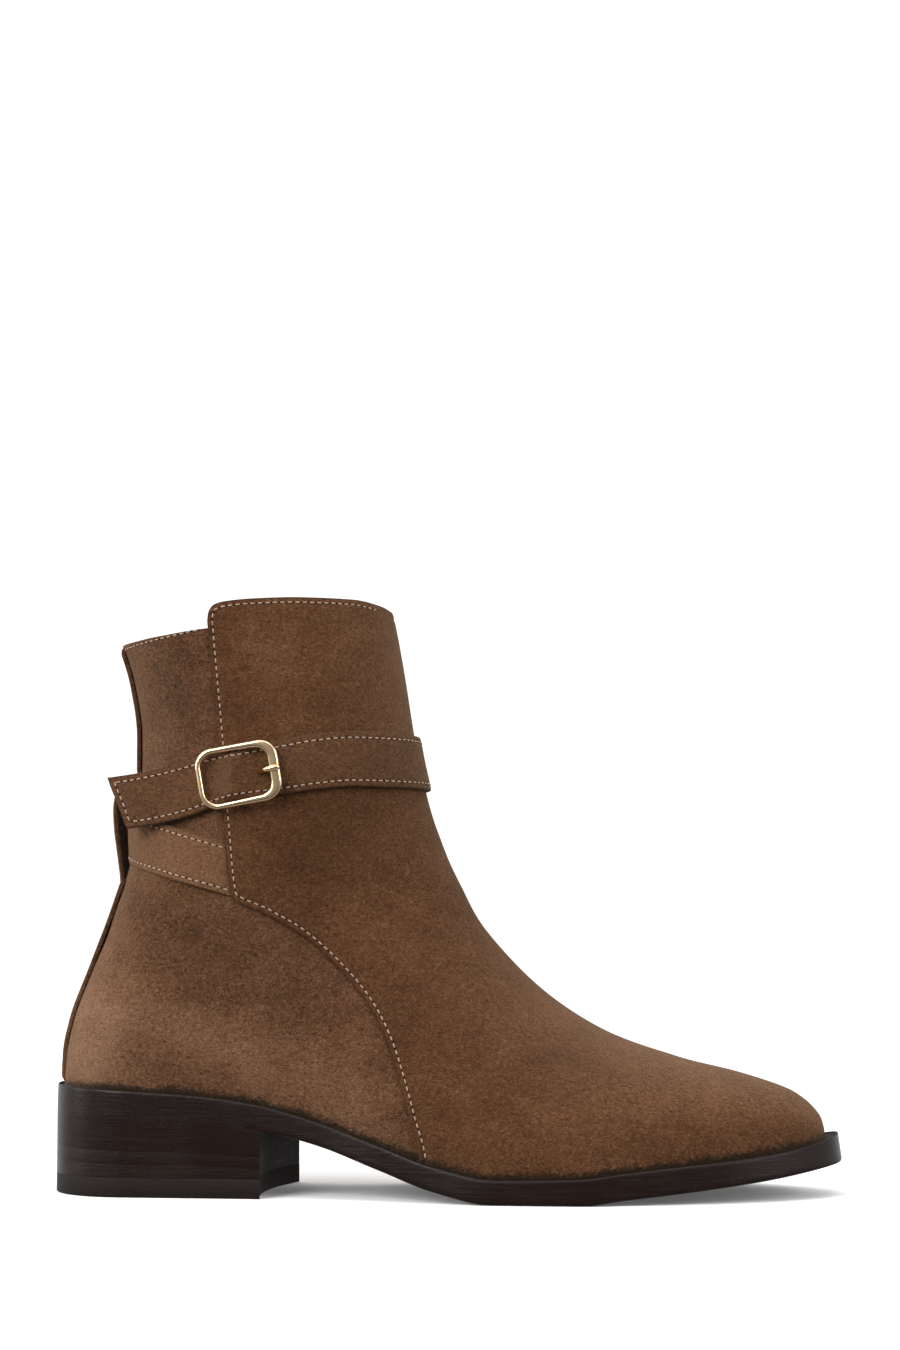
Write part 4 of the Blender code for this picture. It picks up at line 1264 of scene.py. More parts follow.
@dataclass
class Sole:
    """Outsole, heel stack, top piece and insole."""

    form: SoleForm
    last: Last
    stations: int = 170
    edge_round: float = 1.0
    heel_edge_round: float = 0.0
    heel_edge: tuple[float, float] = (-62.0, -50.0)
    toe_flare: float = 1.0
    side_flare: float = 0.2
    lip_least: float = 0.2
    lip_share: float = 0.18
    lip_inside: float = 0.3
    breast_lateral: float = -58.9
    breast_medial: float = -53.6
    breast_hollow: float = 4.0
    breast_stations: int = 58
    heel_inset: float = 0.01
    top_piece: float = 6.4
    joint: float = 0.005
    line_depth: float = 0.02
    layer: float = 4.6
    heel_centre: tuple[float, float] = (-96.0, 0.0)
    stack_soft: float = 0.0
    tread_soft: float = 0.2
    insole_thick: float = 2.4
    insole_clear: float = 3.9
    insole_short: float = 0.4
    insole_gap: float = 0.45
    insole_side: float = 20 / 27
    insole_soft: float = 0.5

    @staticmethod
    def inward(loop: Array, distance: Any) -> Array:
        """A closed outline in plan moved inward, by one distance or one for each point."""
        along = np.roll(loop, -1, axis=0) - np.roll(loop, 1, axis=0)
        along /= np.linalg.norm(along, axis=1)[:, None]
        move = np.broadcast_to(distance, len(loop))[:, None]
        return loop + move * np.stack([-along[:, 1], along[:, 0]], axis=1)

    def to_middle(self, loop: Array, share: float) -> Array:
        """An outline drawn in towards the sole's middle line."""
        middle = self.form.middle(loop[:, 0])
        return np.stack([loop[:, 0], middle + share * (loop[:, 1] - middle)], axis=1)

    @staticmethod
    def wrap(name: str, rings: list[Array], groove: Array | None = None) -> bpy.types.Object:
        """A closed piece from rings stacked bottom to top, whose first and last ring close on themselves.

        Args:
            name: The piece's name.
            rings: Points of each ring.
            groove: How rough each point is, if any is.

        Returns:
            The piece.
        """
        grid = np.stack([np.concatenate([ring, ring[:1]]) for ring in rings])
        tips = [0, len(rings[0]) // 2, -1]
        for end, beside in ((0, 1), (-1, -2)):
            grid[end] = (grid[end] + grid[end, ::-1]) / 2
            grid[end, tips] = grid[beside, tips]
        marks = {} if groove is None else {"groove": np.concatenate([groove, groove[:, :1]], axis=1)}
        piece = Bench.sheet(name, grid, marks)
        Bench.tidy(piece)
        return piece

    def build_outsole(self, leather: bpy.types.Material) -> bpy.types.Object:
        """The sole with its rounded edge, raised lip and the groove beside the upper."""
        form = self.form
        loop = form.loop(self.stations)
        toe = np.clip((loop[:, 0] - form.toe_round_from) / (form.toe - form.toe_round_from), 0, 1)
        flare = self.side_flare + (self.toe_flare - self.side_flare) * toe
        lip = flare + self.lip_least + self.lip_share * form.curves["rim"](loop[:, 0])
        rings, groove = [], []

        def ring(plan: Array, height: Callable[[Any], Array], rise: Any, mark: float = 0.0) -> None:
            """Adds a ring at a height above the tread or the rim."""
            rings.append(np.column_stack([plan, height(plan[:, 0]) + rise]))
            groove.append(mark)

        under = np.interp(loop[:, 0], self.heel_edge, (self.heel_edge_round, self.edge_round))
        base = self.inward(loop, under)
        for share in (0.0, 0.35, 0.7, 0.92):
            ring(self.to_middle(base, share), form.tread, 0.0)
        for turn in np.radians((0.0, 22.0, 45.0, 68.0, 90.0)):
            ring(self.inward(loop, under * (1 - math.sin(turn))), form.tread, under * (1 - math.cos(turn)))
        for share in (0.2, 0.4, 0.6, 0.8):
            plan = self.inward(loop, flare * share)
            low = form.tread(plan[:, 0]) + under
            high = form.top(plan[:, 0]) - self.edge_round
            rings.append(np.column_stack([plan, low + share * (high - low)]))
            groove.append(0.0)
        for turn in np.radians((0.0, 18.0, 36.0, 54.0, 72.0, 90.0)):
            plan = self.inward(loop, flare + (lip - flare) * (1 - math.cos(turn)))
            ring(plan, form.top, self.edge_round * (math.sin(turn) - 1))
        ring(self.inward(loop, lip + self.lip_inside / 2), form.top, -0.25, 0.6)
        inner = self.inward(loop, lip + self.lip_inside)
        ring(inner, form.top, -form.lip, 1.0)
        for share in (0.92, 0.8, 0.5, 0.0):
            ring(self.to_middle(inner, share), form.top, -form.lip, 1.0)
        piece = self.wrap("outsole_leather", rings, np.repeat(np.array(groove)[:, None], len(loop), axis=1))
        Bench.dress(piece, Slot.SOLE, leather)
        Bench.smooth(piece, 50.0)
        return Bench.done(piece, "outsole")

    def heel_loop(self) -> Array:
        """Outline of the heel in plan: the outer side to the back, the inner side and the hollow breast."""
        form = self.form
        turn = np.linspace(0, math.pi / 2, 80)
        lateral_x = self.breast_lateral + (form.back - self.breast_lateral) * np.sin(turn)
        medial_x = self.breast_medial + (form.back - self.breast_medial) * np.sin(turn[::-1])
        lateral = np.stack([lateral_x, form.middle(lateral_x) - form.half(lateral_x)], axis=1)
        medial = np.stack([medial_x, form.middle(medial_x) + form.half(medial_x)], axis=1)
        t = np.linspace(1, -1, self.breast_stations + 2)[1:-1]
        centre = (self.breast_lateral + self.breast_medial) / 2
        reach = (self.breast_medial - self.breast_lateral) / 2
        x = centre + t * reach - self.breast_hollow * (1 - t * t)
        breast = np.stack([x, form.middle(x) + t * form.half(x)], axis=1)
        return np.concatenate([lateral, medial[1:], breast])[::-1]

    def heel_block(
        self, name: str, low: float, high: Callable[[Array], Array], soft: float
    ) -> bpy.types.Object:
        """A slab of the heel with softened edges and faint lines between its layers.

        Args:
            name: The piece's name.
            low: Height of its underside.
            high: Height of its top over points in plan.
            soft: Radius of its edges.

        Returns:
            The piece.
        """
        loop = self.heel_loop()
        centre = np.array(self.heel_centre)
        rings = []

        def ring(inset: float, share: float, height: Array) -> None:
            """Adds a ring drawn in by a distance and towards the middle."""
            plan = self.inward(loop, self.heel_inset + inset)
            rings.append(np.column_stack([centre + share * (plan - centre), height]))

        bottom, top = np.full(len(loop), low), high(self.inward(loop, self.heel_inset))
        for share in (0.0, 0.5, 0.9):
            ring(soft, share, bottom)
        for turn in np.radians((0.0, 30.0, 60.0, 90.0)):
            ring(soft * (1 - math.sin(turn)), 1.0, bottom + soft * (1 - math.cos(turn)))
        height = low + self.layer
        while height < top.min() - 2.0:
            for rise, share in ((-0.32, 0.0), (-0.1, 1.0), (0.1, 1.0), (0.32, 0.0)):
                level = bottom + soft + (height + rise - low - soft) / (top.max() - low) * (top - low)
                ring(share * self.line_depth, 1.0, level)
            height += self.layer
        for turn in np.radians((0.0, 30.0, 60.0, 90.0)):
            ring(soft * (1 - math.cos(turn)), 1.0, top - soft * (1 - math.sin(turn)))
        for share in (0.9, 0.5, 0.0):
            level = high(centre + share * (self.inward(loop, self.heel_inset + soft) - centre))
            ring(soft, share, level)
        rough = np.zeros((len(rings), len(loop)))
        rough[:, : self.breast_stations] = 1.0
        return self.wrap(name, rings, rough)

    def build_heel(self, leather: bpy.types.Material, rubber: bpy.types.Material) -> list[bpy.types.Object]:
        """The heel stack under the sole and the top piece under it."""
        form = self.form

        def under_sole(plan: Array) -> Array:
            """The sole's underside over points in plan."""
            return form.tread(plan[:, 0]) - self.joint

        def joint(plan: Array) -> Array:
            """The top piece's upper face."""
            return np.full(len(plan), self.top_piece - self.joint)

        stack = self.heel_block("heel_layers", self.top_piece, under_sole, self.stack_soft)
        Bench.dress(stack, Slot.SOLE, leather)
        piece = self.heel_block("heel_tread", 0.0, joint, self.tread_soft)
        Bench.dress(piece, Slot.RUBBER, rubber)
        for part in (stack, piece):
            Bench.smooth(part, 50.0)
        return [Bench.done(stack, "heel_stack"), Bench.done(piece, "heel_top_piece")]

    def build_insole(self, lining: bpy.types.Material) -> bpy.types.Object:
        """The board and sock inside."""
        turn = np.linspace(0, math.pi, 110)
        last = self.last
        xs = (last.toe + last.back) / 2 - (last.toe - last.back - self.insole_short) / 2 * np.cos(turn)
        middle, half = self.form.middle(last.sole_x(xs)), last.feather_half(xs)
        lateral, medial = np.stack([xs, middle - half], axis=1), np.stack([xs, middle + half], axis=1)
        loop = np.concatenate([lateral, medial[-2:0:-1]])
        rings = []
        side, soft = self.insole_side, self.insole_soft
        steps = ((0.0, 0.0, 0.0), (0.0, 0.6, 0.0), (0.0, 1.0, 0.0), (0.0, 1.0, side), (soft, 1.0, 1.0))
        for inset, share, up in steps + ((soft, 0.6, 1.0), (soft, 0.0, 1.0)):
            plan = self.inward(loop, self.insole_clear + inset)
            middle = self.form.middle(last.sole_x(plan[:, 0]))
            plan = np.stack([plan[:, 0], middle + share * (plan[:, 1] - middle)], axis=1)
            height = self.form.seat(plan[:, 0]) + self.insole_gap + up * self.insole_thick
            rings.append(np.column_stack([plan, height]))
        piece = self.wrap("insole_sock", rings)
        Bench.dress(piece, Slot.INSOLE, lining)
        Bench.smooth(piece, 60.0)
        return Bench.done(piece, "insole")


@dataclass
class Strap:
    """The band from the outer side round the back, the inner side and the front to its free tip."""

    columns: tuple[str, ...] = ("turn", "height", "width", "lift", "thick", "tuck")
    rows: Table = (
        (258.7, 107.3, 18.2, 0.08, 0.06, 0.0),
        (255.0, 108.0, 18.1, 0.15, 0.12, 0.0),
        (252.5, 108.5, 18.0, 0.85, 0.8, 0.0),
        (246.0, 109.8, 17.8, 1.5, 1.4, 0.0),
        (236.0, 111.8, 17.6, 1.9, 1.6, 0.2),
        (215.0, 116.0, 17.4, 2.6, 1.6, 1.9),
        (180.0, 120.6, 17.2, 4.6, 1.5, 4.4),
        (135.0, 126.0, 17.2, 3.0, 1.6, 1.8),
        (112.0, 129.6, 17.4, 3.25, 1.7, 0.0),
        (90.0, 133.4, 17.6, 3.25, 1.7, 0.0),
        (45.0, 139.8, 17.6, 3.25, 1.7, 0.0),
        (0.0, 144.2, 18.2, 3.25, 1.7, 0.0),
        (-40.0, 144.8, 18.4, 3.25, 1.7, 0.0),
        (-58.0, 143.7, 18.4, 3.25, 1.7, 0.0),
        (-75.0, 141.9, 18.0, 3.25, 1.7, 0.0),
        (-90.0, 140.4, 17.2, 3.25, 1.7, 0.0),
        (-101.0, 139.2, 17.0, 3.25, 1.7, 0.0),
        (-110.0, 138.0, 17.6, 3.25, 1.7, 0.0),
        (-121.0, 135.7, 18.5, 3.25, 1.7, 0.0),
    )
    axis_x: float = -60.0
    start_lean: float = 3.0
    start_rows: int = 24
    off_seam: float = 0.01
    stations: int = 300
    tip_stations: int = 34
    tip_length: float = 28.4
    tip_slant: float = 7.7
    tip_drop: float = 5.4
    tip_close: tuple[float, ...] = (0.975, 0.985, 0.993, 0.998, 1.0)
    bar_x: float = -66.9
    hump: float = 2.6
    hump_reach: float = 7.0
    hump_flat: float = 0.34
    hump_rim: float = 0.15
    fold: float = 0.45
    fold_width: float = 0.9
    edge_round: float = 0.4
    roll: float = 0.25
    roll_width: float = 0.9
    trough: float = 0.2
    sewn_width: float = 0.6
    stitch_in: float = 2.0
    stitch_from: float = 3.4
    pale_turns: tuple[float, ...] = (185.0, 225.0, 246.0, 259.0)
    pale: tuple[float, ...] = (0.0, 0.75, 0.75, 0.5)

    def surface(self, tree: BVHTree, turn: float, height: float) -> tuple[Array, Array]:
        """The form's point at a turn about the shaft's axis, and its level outward direction."""
        turn = math.radians(turn + self.off_seam)
        aim = Vector((math.cos(turn), math.sin(turn), 0.0))
        hit, normal, _, _ = tree.ray_cast(Vector((self.axis_x, 0.0, height)), aim)
        flat = Vector((normal.x, normal.y, 0.0)).normalized()
        return np.array(hit), np.array(flat if flat.dot(aim) > 0 else -flat)

    def rise_at_bar(self, x: float, a: float) -> float:
        """How far the strap stands up to pass over the buckle's bar, with a fold at the top.

        Args:
            x: Place along the boot.
            a: Place across the strap, whose edges stay under the frame.

        Returns:
            The rise in millimetres.
        """
        away = abs(x - self.bar_x)
        near = max(0.0, 1 - away / self.hump_reach)
        rim = min(max((abs(a) - self.hump_flat) / (0.5 - self.hump_flat), 0.0), 1.0)
        share = 1 - (1 - self.hump_rim) * rim * rim * (3 - 2 * rim)
        top = self.hump * near * near * (3 - 2 * near)
        return share * (top + self.fold * math.exp(-((away / self.fold_width) ** 2)))

    def face(self, tree: BVHTree, across: Array) -> tuple[Array, Array]:
        """The strap's outer face.

        Args:
            tree: The form round the ankle.
            across: Places across the strap, from -0.5 at its lower edge to 0.5.

        Returns:
            Rows along the strap by columns across it, and the thickness at each row.
        """
        curves = table_curves(self.columns, self.rows)
        turns = np.linspace(self.rows[0][0], self.rows[-1][0], self.stations)
        grid = []
        for i, turn in enumerate(turns):
            row = []
            for a in across:
                lean = -self.start_lean * a * max(0.0, 1 - i / self.start_rows)
                height = float(curves["height"](turn) + a * curves["width"](turn))
                point, flat = self.surface(tree, turn + lean, height)
                lift = float(curves["lift"](turn) - curves["tuck"](turn) * (0.5 - a))
                row.append(point + flat * (lift + (self.rise_at_bar(point[0], a) if turn < 0 else 0.0)))
            grid.append(row)
        middle = len(across) // 2
        along = grid[-1][middle] - grid[-6][middle]
        along[2] = 0.0
        along /= np.linalg.norm(along)
        end = grid[-1]
        shares = np.concatenate([np.linspace(0, 0.96, self.tip_stations)[1:], self.tip_close])
        stretch = 1 + self.tip_slant / self.tip_length * across
        for s in shares:
            step = along * self.tip_length * s - np.array((0.0, 0.0, self.tip_drop * s * (3 - s) / 2))
            grid.append([point + step * more for point, more in zip(end, stretch)])
        thick = curves["thick"](turns)
        return np.array(grid), np.concatenate([thick, np.full(len(shares), thick[-1])])

    def rounded(self, edge: Array) -> Array:
        """How far the face sinks near its edge: a rounded corner and a soft roll."""
        inner = np.clip(1 - edge / self.edge_round, 0, 1)
        corner = self.edge_round * (1 - np.sqrt(1 - inner**2))
        return corner + self.roll * np.exp(-((edge / self.roll_width) ** 2))

    def build(self, tree: BVHTree, suede: bpy.types.Material) -> tuple[bpy.types.Object, list[Array]]:
        """The strap.

        Args:
            tree: The form round the ankle.
            suede: Its finish.

        Returns:
            The piece and the paths of its stitch rows.
        """
        near = np.array((0.0, 0.006, 0.014, 0.026, 0.05, 0.08, 0.105, 0.13, 0.155, 0.19, 0.25, 0.32, 0.4))
        across = np.concatenate([near, [0.5], 1 - near[::-1]]) - 0.5
        grid, thick = self.face(tree, across)
        normals = grid_normals(grid, Vector((0.7, 0.7, 0.0)))
        wide = path_run(grid[len(grid) // 2])[-1]
        tail = path_run(grid[:, len(across) // 2])
        sides = np.broadcast_to((0.5 - np.abs(across)) * wide, grid.shape[:2])
        edge = np.minimum(sides, (tail[-1] - tail)[:, None])
        firm = np.minimum(thick, 1.0)[:, None]
        sink = self.rounded(edge) * firm
        sink = sink + self.trough * np.exp(-(((edge - self.stitch_in) / self.sewn_width) ** 2)) * firm
        face, under = grid - normals * sink[..., None], grid - normals * thick[:, None, None]
        ring = np.concatenate([face, under[:, ::-1], face[:, :1]], axis=1)
        caps = [(face[i] + under[i]) / 2 for i in (0, -1)]
        caps = [np.concatenate([cap, cap[::-1], cap[:1]])[None] for cap in caps]
        rim = np.concatenate([edge, edge[:, ::-1], edge[:, :1]], axis=1)
        rim = np.concatenate([rim[:1], rim, rim[-1:]])
        turns = np.linspace(self.rows[0][0], self.rows[-1][0], self.stations)
        nap_and_painted_light = np.zeros(len(rim))
        nap_and_painted_light[1 : self.stations + 1] = np.interp(turns, self.pale_turns, self.pale)
        nap_and_painted_light[0] = nap_and_painted_light[1]
        marks = {"edge": rim, "nap_and_painted_light": np.repeat(nap_and_painted_light[:, None], rim.shape[1], axis=1)}
        piece = Bench.sheet("wrap_strap", np.concatenate([caps[0], ring, caps[1]]), marks)
        Bench.tidy(piece)
        Bench.dress(piece, Slot.SUEDE, suede)
        Bench.smooth(piece)
        return Bench.done(piece, "strap"), self.stitch_rows(grid, across, wide)

    def stitch_rows(self, grid: Array, across: Array, wide: float) -> list[Array]:
        """Paths of the stitches: along both edges and across the free end.

        Args:
            grid: The strap's face.
            across: Places of its columns across it.
            wide: Its width.

        Returns:
            Close points of each row.
        """
        share = 0.5 - self.stitch_in / wide
        end_in = self.stitch_in * math.hypot(1.0, self.tip_slant / wide)
        rows, ends = [], []
        for a in np.linspace(-share, share, 13):
            row = np.array([[np.interp(a, across, line[:, c]) for c in range(3)] for line in grid])
            run = path_run(row)[-1] - end_in
            ends.append(along_path(row, np.array([run]))[0])
            rows.append(along_path(row, np.arange(self.stitch_from, run, 0.4)))
        return [rows[0], rows[-1], np.array(ends)]


@dataclass
class BackLoop:
    """The strip at the centre back that holds the strap."""

    path: Table = (
        (-105.4, 140.8),
        (-110.2, 139.4),
        (-113.6, 134.0),
        (-114.4, 128.5),
        (-114.0, 121.5),
        (-113.1, 115.0),
        (-112.4, 110.0),
        (-111.9, 106.2),
        (-111.7, 103.2),
    )
    width: float = 18.0
    bow: float = 32.0
    thick: float = 1.3
    soft: float = 0.25
    roll: float = 0.25
    roll_width: float = 0.6
    rim_shade: float = 0.8
    rows: int = 60
    columns: int = 13

    def build(self, suede: bpy.types.Material) -> bpy.types.Object:
        """The strip, bowed over the strap."""
        line = smooth_path(np.array(self.path), self.rows)
        across = np.linspace(-1, 1, self.columns)
        grid = np.zeros((len(line), len(across), 3))
        grid[..., 0] = line[:, :1] + (across * self.width / 2) ** 2 / (2 * self.bow)
        grid[..., 1] = across * self.width / 2
        grid[..., 2] = line[:, 1:]
        edge = np.broadcast_to((1 - np.abs(across)) * self.width / 2, grid.shape[:2])
        normals = grid_normals(grid, Vector(BACKWARDS))
        sink = self.roll * np.exp(-((edge / self.roll_width) ** 2))
        points = grid - normals * sink[..., None]
        piece = Bench.sheet("strap_keeper", points, {"edge": edge + self.rim_shade})
        return Bench.sewn(piece, BACKWARDS, Slot.SUEDE, (suede,), self.thick, self.soft, "strap_back_loop")


@dataclass
class Buckle:
    """Rounded frame with a bar behind the strap and a prong through it."""

    strap: Strap
    x: float = -65.0
    z: float = 139.3
    tilt: float = 10.0
    length: float = 28.0
    height: float = 20.4
    corner: float = 6.2
    out: float = 34.0
    span: float = 18.0
    wire: float = 1.9
    wide_side: float = 1.6
    taper: float = 0.95
    thick: float = 2.2
    soft: float = 0.92
    base: float = 3.25
    bar_u: float = -2.0
    bar_wire: float = 1.6
    rise: float = 1.8
    bar_drop: float = 2.4
    bar_knee: float = 0.9
    bar_root: float = 0.2
    prong_wire: float = 1.9
    prong_stations: int = 40
    prong_up: Table = ((0.1, -2.4), (4.5, -3.4), (6.0, -2.8), (7.4, -1.0), (8.6, 0.6))
    prong_over: Table = ((-2.6, 0.0), (-0.8, 0.05), (1.3, -0.1))

    def seat(self, tree: BVHTree) -> Matrix:
        """The buckle's plane: u along the strap, v up it and w out of it, in metres."""
        strap, tilt = self.strap, math.radians(self.tilt)
        turn = -90.0 + math.degrees(math.asin((self.x - strap.axis_x) / self.out))
        point, _ = strap.surface(tree, turn, self.z)
        ahead, behind = (strap.surface(tree, turn + side * self.span, self.z)[0] for side in (1, -1))
        along = (ahead - behind) / np.linalg.norm(ahead - behind)
        flat = np.array((along[1], -along[0], 0.0))
        up = np.array((0.0, 0.0, 1.0))
        u, v = along * math.cos(tilt) + up * math.sin(tilt), up * math.cos(tilt) - along * math.sin(tilt)
        base = point + flat * (self.base + self.rise)
        rows = np.column_stack([np.stack([u, v, flat], axis=1), base * MM])
        return Matrix([*rows.tolist(), [0.0, 0.0, 0.0, 1.0]])

    @staticmethod
    def finish(
        piece: bpy.types.Object, seat: Matrix, gold: bpy.types.Material, *nodes: str
    ) -> bpy.types.Object:
        """Sets a part that was modelled at the origin down on the boot, within its mesh, and gilds it."""
        piece.data.transform(seat)
        piece.data.update()
        Bench.dress(piece, Slot.GOLD, gold)
        Bench.smooth(piece, 50.0)
        return Bench.done(piece, *nodes)

    def build_frame(self, seat: Matrix, gold: bpy.types.Material) -> bpy.types.Object:
        """The frame: a rounded plate, inset, opened, thickened and bevelled."""
        Bench.clear()
        bpy.ops.mesh.primitive_plane_add(size=1.0)
        piece = Bench.named("buckle_body")
        piece.scale = (self.length * MM, self.height * MM, 1.0)
        bpy.ops.object.transform_apply(location=False, rotation=False, scale=True)
        bpy.ops.object.mode_set(mode="EDIT")
        bpy.ops.mesh.select_all(action="SELECT")
        bpy.ops.mesh.bevel(offset=self.corner * MM, segments=10, affect="VERTICES")
        bpy.ops.mesh.select_all(action="SELECT")
        bpy.ops.mesh.inset(thickness=self.wire * MM, use_even_offset=True)
        bpy.ops.mesh.delete(type="FACE")
        bpy.ops.object.mode_set(mode="OBJECT")
        inner_x, inner_y = self.length / 2 - self.wire + 0.05, self.height / 2 - self.wire + 0.05
        for vertex in piece.data.vertices:
            inner = abs(vertex.co.x) < inner_x * MM and abs(vertex.co.y) < inner_y * MM
            if inner and vertex.co.x > 0:
                vertex.co.x -= self.wide_side * MM
                vertex.co.y *= self.taper
        Bench.apply(piece, "SOLIDIFY", thickness=self.thick * MM, offset=0.0)
        Bench.tidy(piece)
        Bench.bevel(piece, self.soft, 5, 60.0)
        return self.finish(piece, seat, gold, "buckle_frame")

    def build_bar(self, seat: Matrix, gold: bpy.types.Material) -> bpy.types.Object:
        """The bar across the frame, dropped behind the strap."""
        reach = (self.height - self.wire) / 2
        upper_half = ((reach - self.bar_knee, -self.bar_drop), (reach, -self.bar_root))
        shape = [(-v, w) for v, w in upper_half[::-1]] + list(upper_half)
        path = np.array([(self.bar_u, v, w) for v, w in shape])
        piece = Bench.tube("buckle_bar", path, [self.bar_wire / 2] * len(path))
        return self.finish(piece, seat, gold)

    def build_prong(self, seat: Matrix, gold: bpy.types.Material) -> bpy.types.Object:
        """The prong, up through the strap and over the frame's front side."""
        half = (self.length - self.wire) / 2
        top = self.thick / 2 + self.prong_wire / 2
        shape = np.array(self.prong_up + tuple((half + u, top + w) for u, w in self.prong_over))
        u, w = smooth_path(shape, self.prong_stations).T
        path = np.stack([u, np.zeros_like(u), w], axis=1)
        end = np.clip((path_run(path)[-1] - path_run(path)) / (self.prong_wire / 2), 0.05, 1)
        piece = Bench.tube("buckle_tongue", path, self.prong_wire / 2 * np.sqrt(1 - (1 - end) ** 2))
        return self.finish(piece, seat, gold, "buckle_prong")


@dataclass
class Stitching:
    """Rows of stitches and dots of painted shade for the needle holes between them, copied from one of each.
    """

    pitch: float = 2.5
    length: float = 1.75
    thick: float = 0.55
    flat: float = 0.9
    rise: float = 0.1
    hole: float = 0.62
    hole_deep: float = 0.22
    hole_rise: float = 0.02

    def prototype(self, scale: Colour) -> tuple[Array, list[tuple[int, ...]]]:
        """Points and faces of a ball drawn out to a size."""
        Bench.clear()
        bpy.ops.mesh.primitive_uv_sphere_add(segments=8, ring_count=6, radius=0.5)
        ball = bpy.context.object
        ball.scale = scale
        bpy.ops.object.transform_apply(location=False, rotation=False, scale=True)
        points = np.array([v.co for v in ball.data.vertices])
        faces = [tuple(p.vertices) for p in ball.data.polygons]
        bpy.data.objects.remove(ball, do_unlink=True)
        return points, faces

    def frames(self, path: Array, tree: BVHTree, start: float) -> list[tuple[Array, Array]]:
        """Places and directions along a row.

        Args:
            path: Close points of the row in millimetres.
            tree: The surface that it is sewn to, in metres.
            start: Length along the row of the first place.

        Returns:
            A place on the surface and its three directions, for each stitch.
        """
        run = path_run(path)[-1]
        places = np.arange(start, run - 0.5, self.pitch)
        found = []
        for here, ahead in zip(along_path(path, places), along_path(path, places + 0.4)):
            hit, normal, _, _ = tree.find_nearest(Vector(here * MM))
            out = np.array(normal)
            if out @ (here - np.array(hit) / MM) < 0:
                out = -out
            along = ahead - here
            along = along - out * (along @ out)
            along /= np.linalg.norm(along)
            found.append((np.array(hit) / MM, np.stack([along, np.cross(out, along), out], axis=1)))
        return found

    def build(
        self,
        name: str,
        rows: list[tuple[Array, BVHTree]],
        thread: bpy.types.Material,
        dark: bpy.types.Material,
    ) -> bpy.types.Object:
        """Sews rows and joins them in one piece.

        Args:
            name: The piece's name.
            rows: Each row's path and the surface it is sewn to.
            thread: Finish of the stitches.
            dark: Finish of the holes, painted shade.

        Returns:
            The piece.
        """
        stitch, stitch_faces = self.prototype((self.length, self.thick, self.thick * self.flat))
        hole, hole_faces = self.prototype((self.hole, self.hole, self.hole_deep))
        points, faces, finish = [], [], []
        count = 0
        for path, tree in rows:
            for start, shape, shape_faces, rise, slot in (
                (self.pitch / 2, stitch, stitch_faces, self.rise, 0),
                (self.pitch, hole, hole_faces, self.hole_rise, 1),
            ):
                for place, turn in self.frames(path, tree, start):
                    points.append(place + turn[:, 2] * rise + shape @ turn.T)
                    faces += [tuple(count + v for v in face) for face in shape_faces]
                    finish += [slot] * len(shape_faces)
                    count += len(shape)
        mesh = bpy.data.meshes.new(name)
        mesh.from_pydata((np.concatenate(points) * MM).tolist(), [], faces)
        piece = bpy.data.objects.new(name, mesh)
        bpy.context.scene.collection.objects.link(piece)
        Bench.dress(piece, Slot.SUEDE, thread, dark)
        mesh.polygons.foreach_set("material_index", finish)
        Bench.smooth(piece, 80.0)
        return Bench.done(piece)


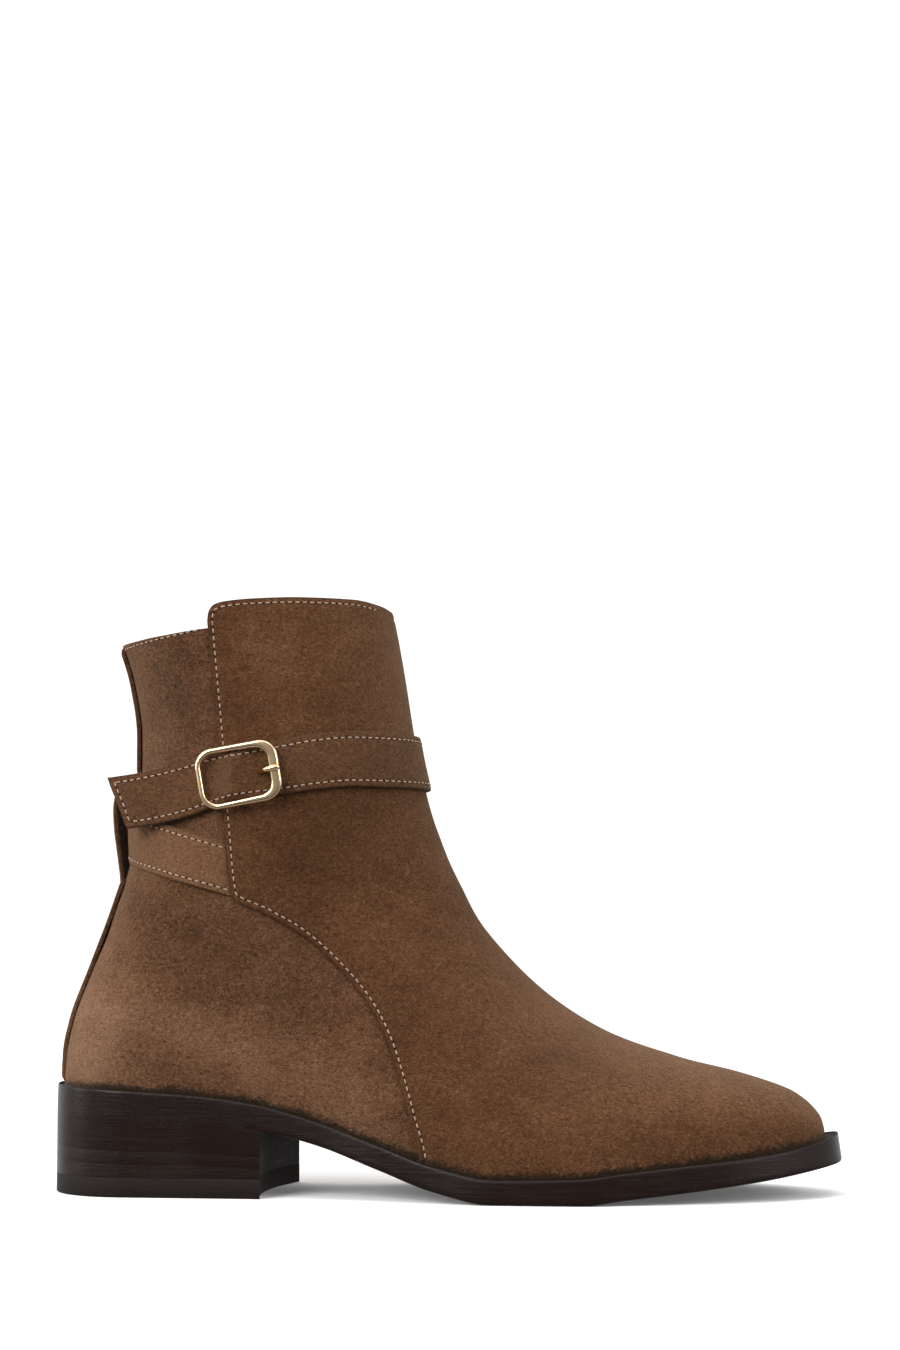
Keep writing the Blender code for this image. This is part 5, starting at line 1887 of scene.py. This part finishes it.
@dataclass
class Studio:
    """White ground, soft light and the camera."""

    floor: float = 30.0
    ground: Colour = (0.92, 0.91, 0.90)
    glow: float = 0.08
    dim: float = 0.3
    bright: float = 1.2
    below: float = 0.35
    target: Colour = (0.0, 0.0, 0.08)
    lights: tuple[tuple[str, Colour, float, float], ...] = (
        ("key_box", (-0.85, -1.25, 0.85), 0.9, 27.0),
        ("top_box", (0.15, -0.25, 1.5), 1.0, 5.0),
        ("fill_box", (1.3, -0.9, 0.7), 0.8, 9.0),
        ("back_box", (-1.5, -0.3, 0.35), 0.5, 4.0),
    )
    camera_place: Colour = (0.08836, -0.99609, 0.105)
    camera_turn: float = 5.0
    camera_pitch: float = 3.974
    focal: float = 2936 / 1350 * 36

    def build_floor(self) -> None:
        """A wide pale floor."""
        Bench.clear()
        place = (0.0, 0.0, -0.1 * MM)
        bpy.ops.mesh.primitive_circle_add(vertices=128, radius=self.floor, fill_type="NGON", location=place)
        piece = Bench.named("studio_floor")
        piece.visible_diffuse = piece.visible_glossy = False
        paint = Paint("studio_ground")
        paint.set(base_color=self.ground, roughness=0.9, specular_ior_level=0.0)
        paint.set(emission_color=(1.0, 1.0, 1.0), emission_strength=self.glow)
        piece.data.materials.append(paint.material)

    def build_light(self, name: str, place: Colour, size: float, power: float) -> None:
        """A square soft box aimed at the boot.

        Args:
            name: The light's name.
            place: Where it hangs, in metres.
            size: Its side, in metres.
            power: Its power, in watts.
        """
        Bench.clear()
        aim = (Vector(self.target) - Vector(place)).to_track_quat("-Z", "Y")
        bpy.ops.object.light_add(type="AREA", location=place, rotation=aim.to_euler())
        lamp = bpy.context.object
        lamp.name = name
        lamp.data.shape, lamp.data.size, lamp.data.energy = "SQUARE", size, power

    def build_world(self) -> None:
        """White all round, darker behind the camera and below."""
        world = bpy.data.worlds.new("studio")
        world.use_nodes = True
        bpy.context.scene.world = world
        nodes = Nodes(world.node_tree)
        way = nodes.node("ShaderNodeTexCoord").outputs["Generated"]
        parts = nodes.node("ShaderNodeSeparateXYZ", None, {0: way})
        ahead, up = (Value(nodes, parts.outputs[name]) for name in ("Y", "Z"))
        sides = self.dim + (self.bright - self.dim) * ahead.step(-0.95, -0.35)
        under = self.below + (1.0 - self.below) * up.step(-0.25, -0.02)
        background = nodes.tree.nodes["Background"].inputs
        nodes.feed(background["Color"], (1.0, 1.0, 1.0, 1.0))
        nodes.feed(background["Strength"], sides * under)

    def build_camera(self) -> None:
        """The camera at the photo's place."""
        turn = (math.radians(90 + self.camera_pitch), 0.0, math.radians(self.camera_turn))
        bpy.ops.object.camera_add(location=self.camera_place, rotation=turn)
        camera = bpy.context.object
        camera.data.lens, camera.data.sensor_width = self.focal, 36.0
        bpy.context.scene.camera = camera

    def build(self) -> None:
        """The whole set."""
        self.build_floor()
        self.build_world()
        for light in self.lights:
            self.build_light(*light)
        self.build_camera()
        bpy.context.scene.view_settings.view_transform = "Standard"


def upper_rows(upper: Upper, panel: BVHTree, quarters: BVHTree) -> list[tuple[Array, BVHTree]]:
    """Stitch rows of the front panel and the collar.

    Args:
        upper: The upper's sizes.
        panel: Surface of the front panel, in metres.
        quarters: Surface of the quarters, in metres.

    Returns:
        Each row's path and the surface it is sewn to.
    """
    last, line = upper.last, upper.line
    inset = line.stitch_path()
    inset = inset[inset[:, 1] > last.sole.seat(inset[:, 0]) + 2.0]
    _, share = last.locate(inset[:, 0], inset[:, 1])
    inset = inset[share < 0.9995]
    rows = []
    sides = []
    for side in (LATERAL, MEDIAL):
        points = last.on_side(inset[:, 0], inset[:, 1], side)
        points[:, 1] += side * upper.panel_step
        sides.append(points)
    whole = np.concatenate([sides[0], sides[1][::-1]])
    rows.append((along_path(whole, np.arange(0.0, path_run(whole)[-1], 0.4)), panel))
    x = np.linspace(*upper.collar_row, 200)
    for side in (LATERAL, MEDIAL):
        points = last.on_side(x, line.back_z(x) - line.collar_in, side)
        rows.append((points, quarters))
    return rows


def main() -> None:
    """Builds the boot's pieces in order, then the studio."""
    logging.basicConfig(level=logging.INFO, format="%(name)s %(message)s")
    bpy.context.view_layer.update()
    form = SoleForm()
    last = Last(form)
    line = PanelLine(last)
    front = Suede("suede_front", on_sole=True)
    back_middle, back_light = (0.098, 0.0415, 0.0182), (0.258, 0.144, 0.084)
    back = Suede("suede_back", middle=back_middle, light=back_light, mottle=0.42, nap=1.65, on_sole=True)
    band = Suede("suede_strap", middle=(0.090, 0.0392, 0.0176), mottle=0.2)
    lining, leather, rubber = Lining().material(), SoleLeather().material(), Rubber().material()
    gold, thread, dark = PaleGold().material(), Thread().material(), HoleShade().material()

    upper = Upper(last, line)
    back_suede, band_suede = back.material(), band.material()
    panel = upper.build_panel(front.material(), lining)
    upper.build_lining(lining)
    quarters = upper.build_quarters(back_suede, lining)
    tree = last.tree()
    upper.build_strip(tree, back_suede)

    sole = Sole(form, last)
    sole.build_outsole(leather)
    sole.build_heel(leather, rubber)
    sole.build_insole(lining)

    strap = Strap()
    strap_piece, strap_rows = strap.build(tree, band_suede)
    BackLoop().build(band_suede)
    buckle = Buckle(strap)
    seat = buckle.seat(tree)
    buckle.build_frame(seat, gold)
    buckle.build_bar(seat, gold)
    buckle.build_prong(seat, gold)

    stitching = Stitching()
    rows = upper_rows(upper, Bench.tree(panel), Bench.tree(quarters))
    stitching.build("upper_stitches", rows, thread, dark)
    strap_tree = Bench.tree(strap_piece)
    stitching.build("strap_stitches", [(row, strap_tree) for row in strap_rows], thread, dark)

    Studio().build()


if __name__ == "__main__":
    main()
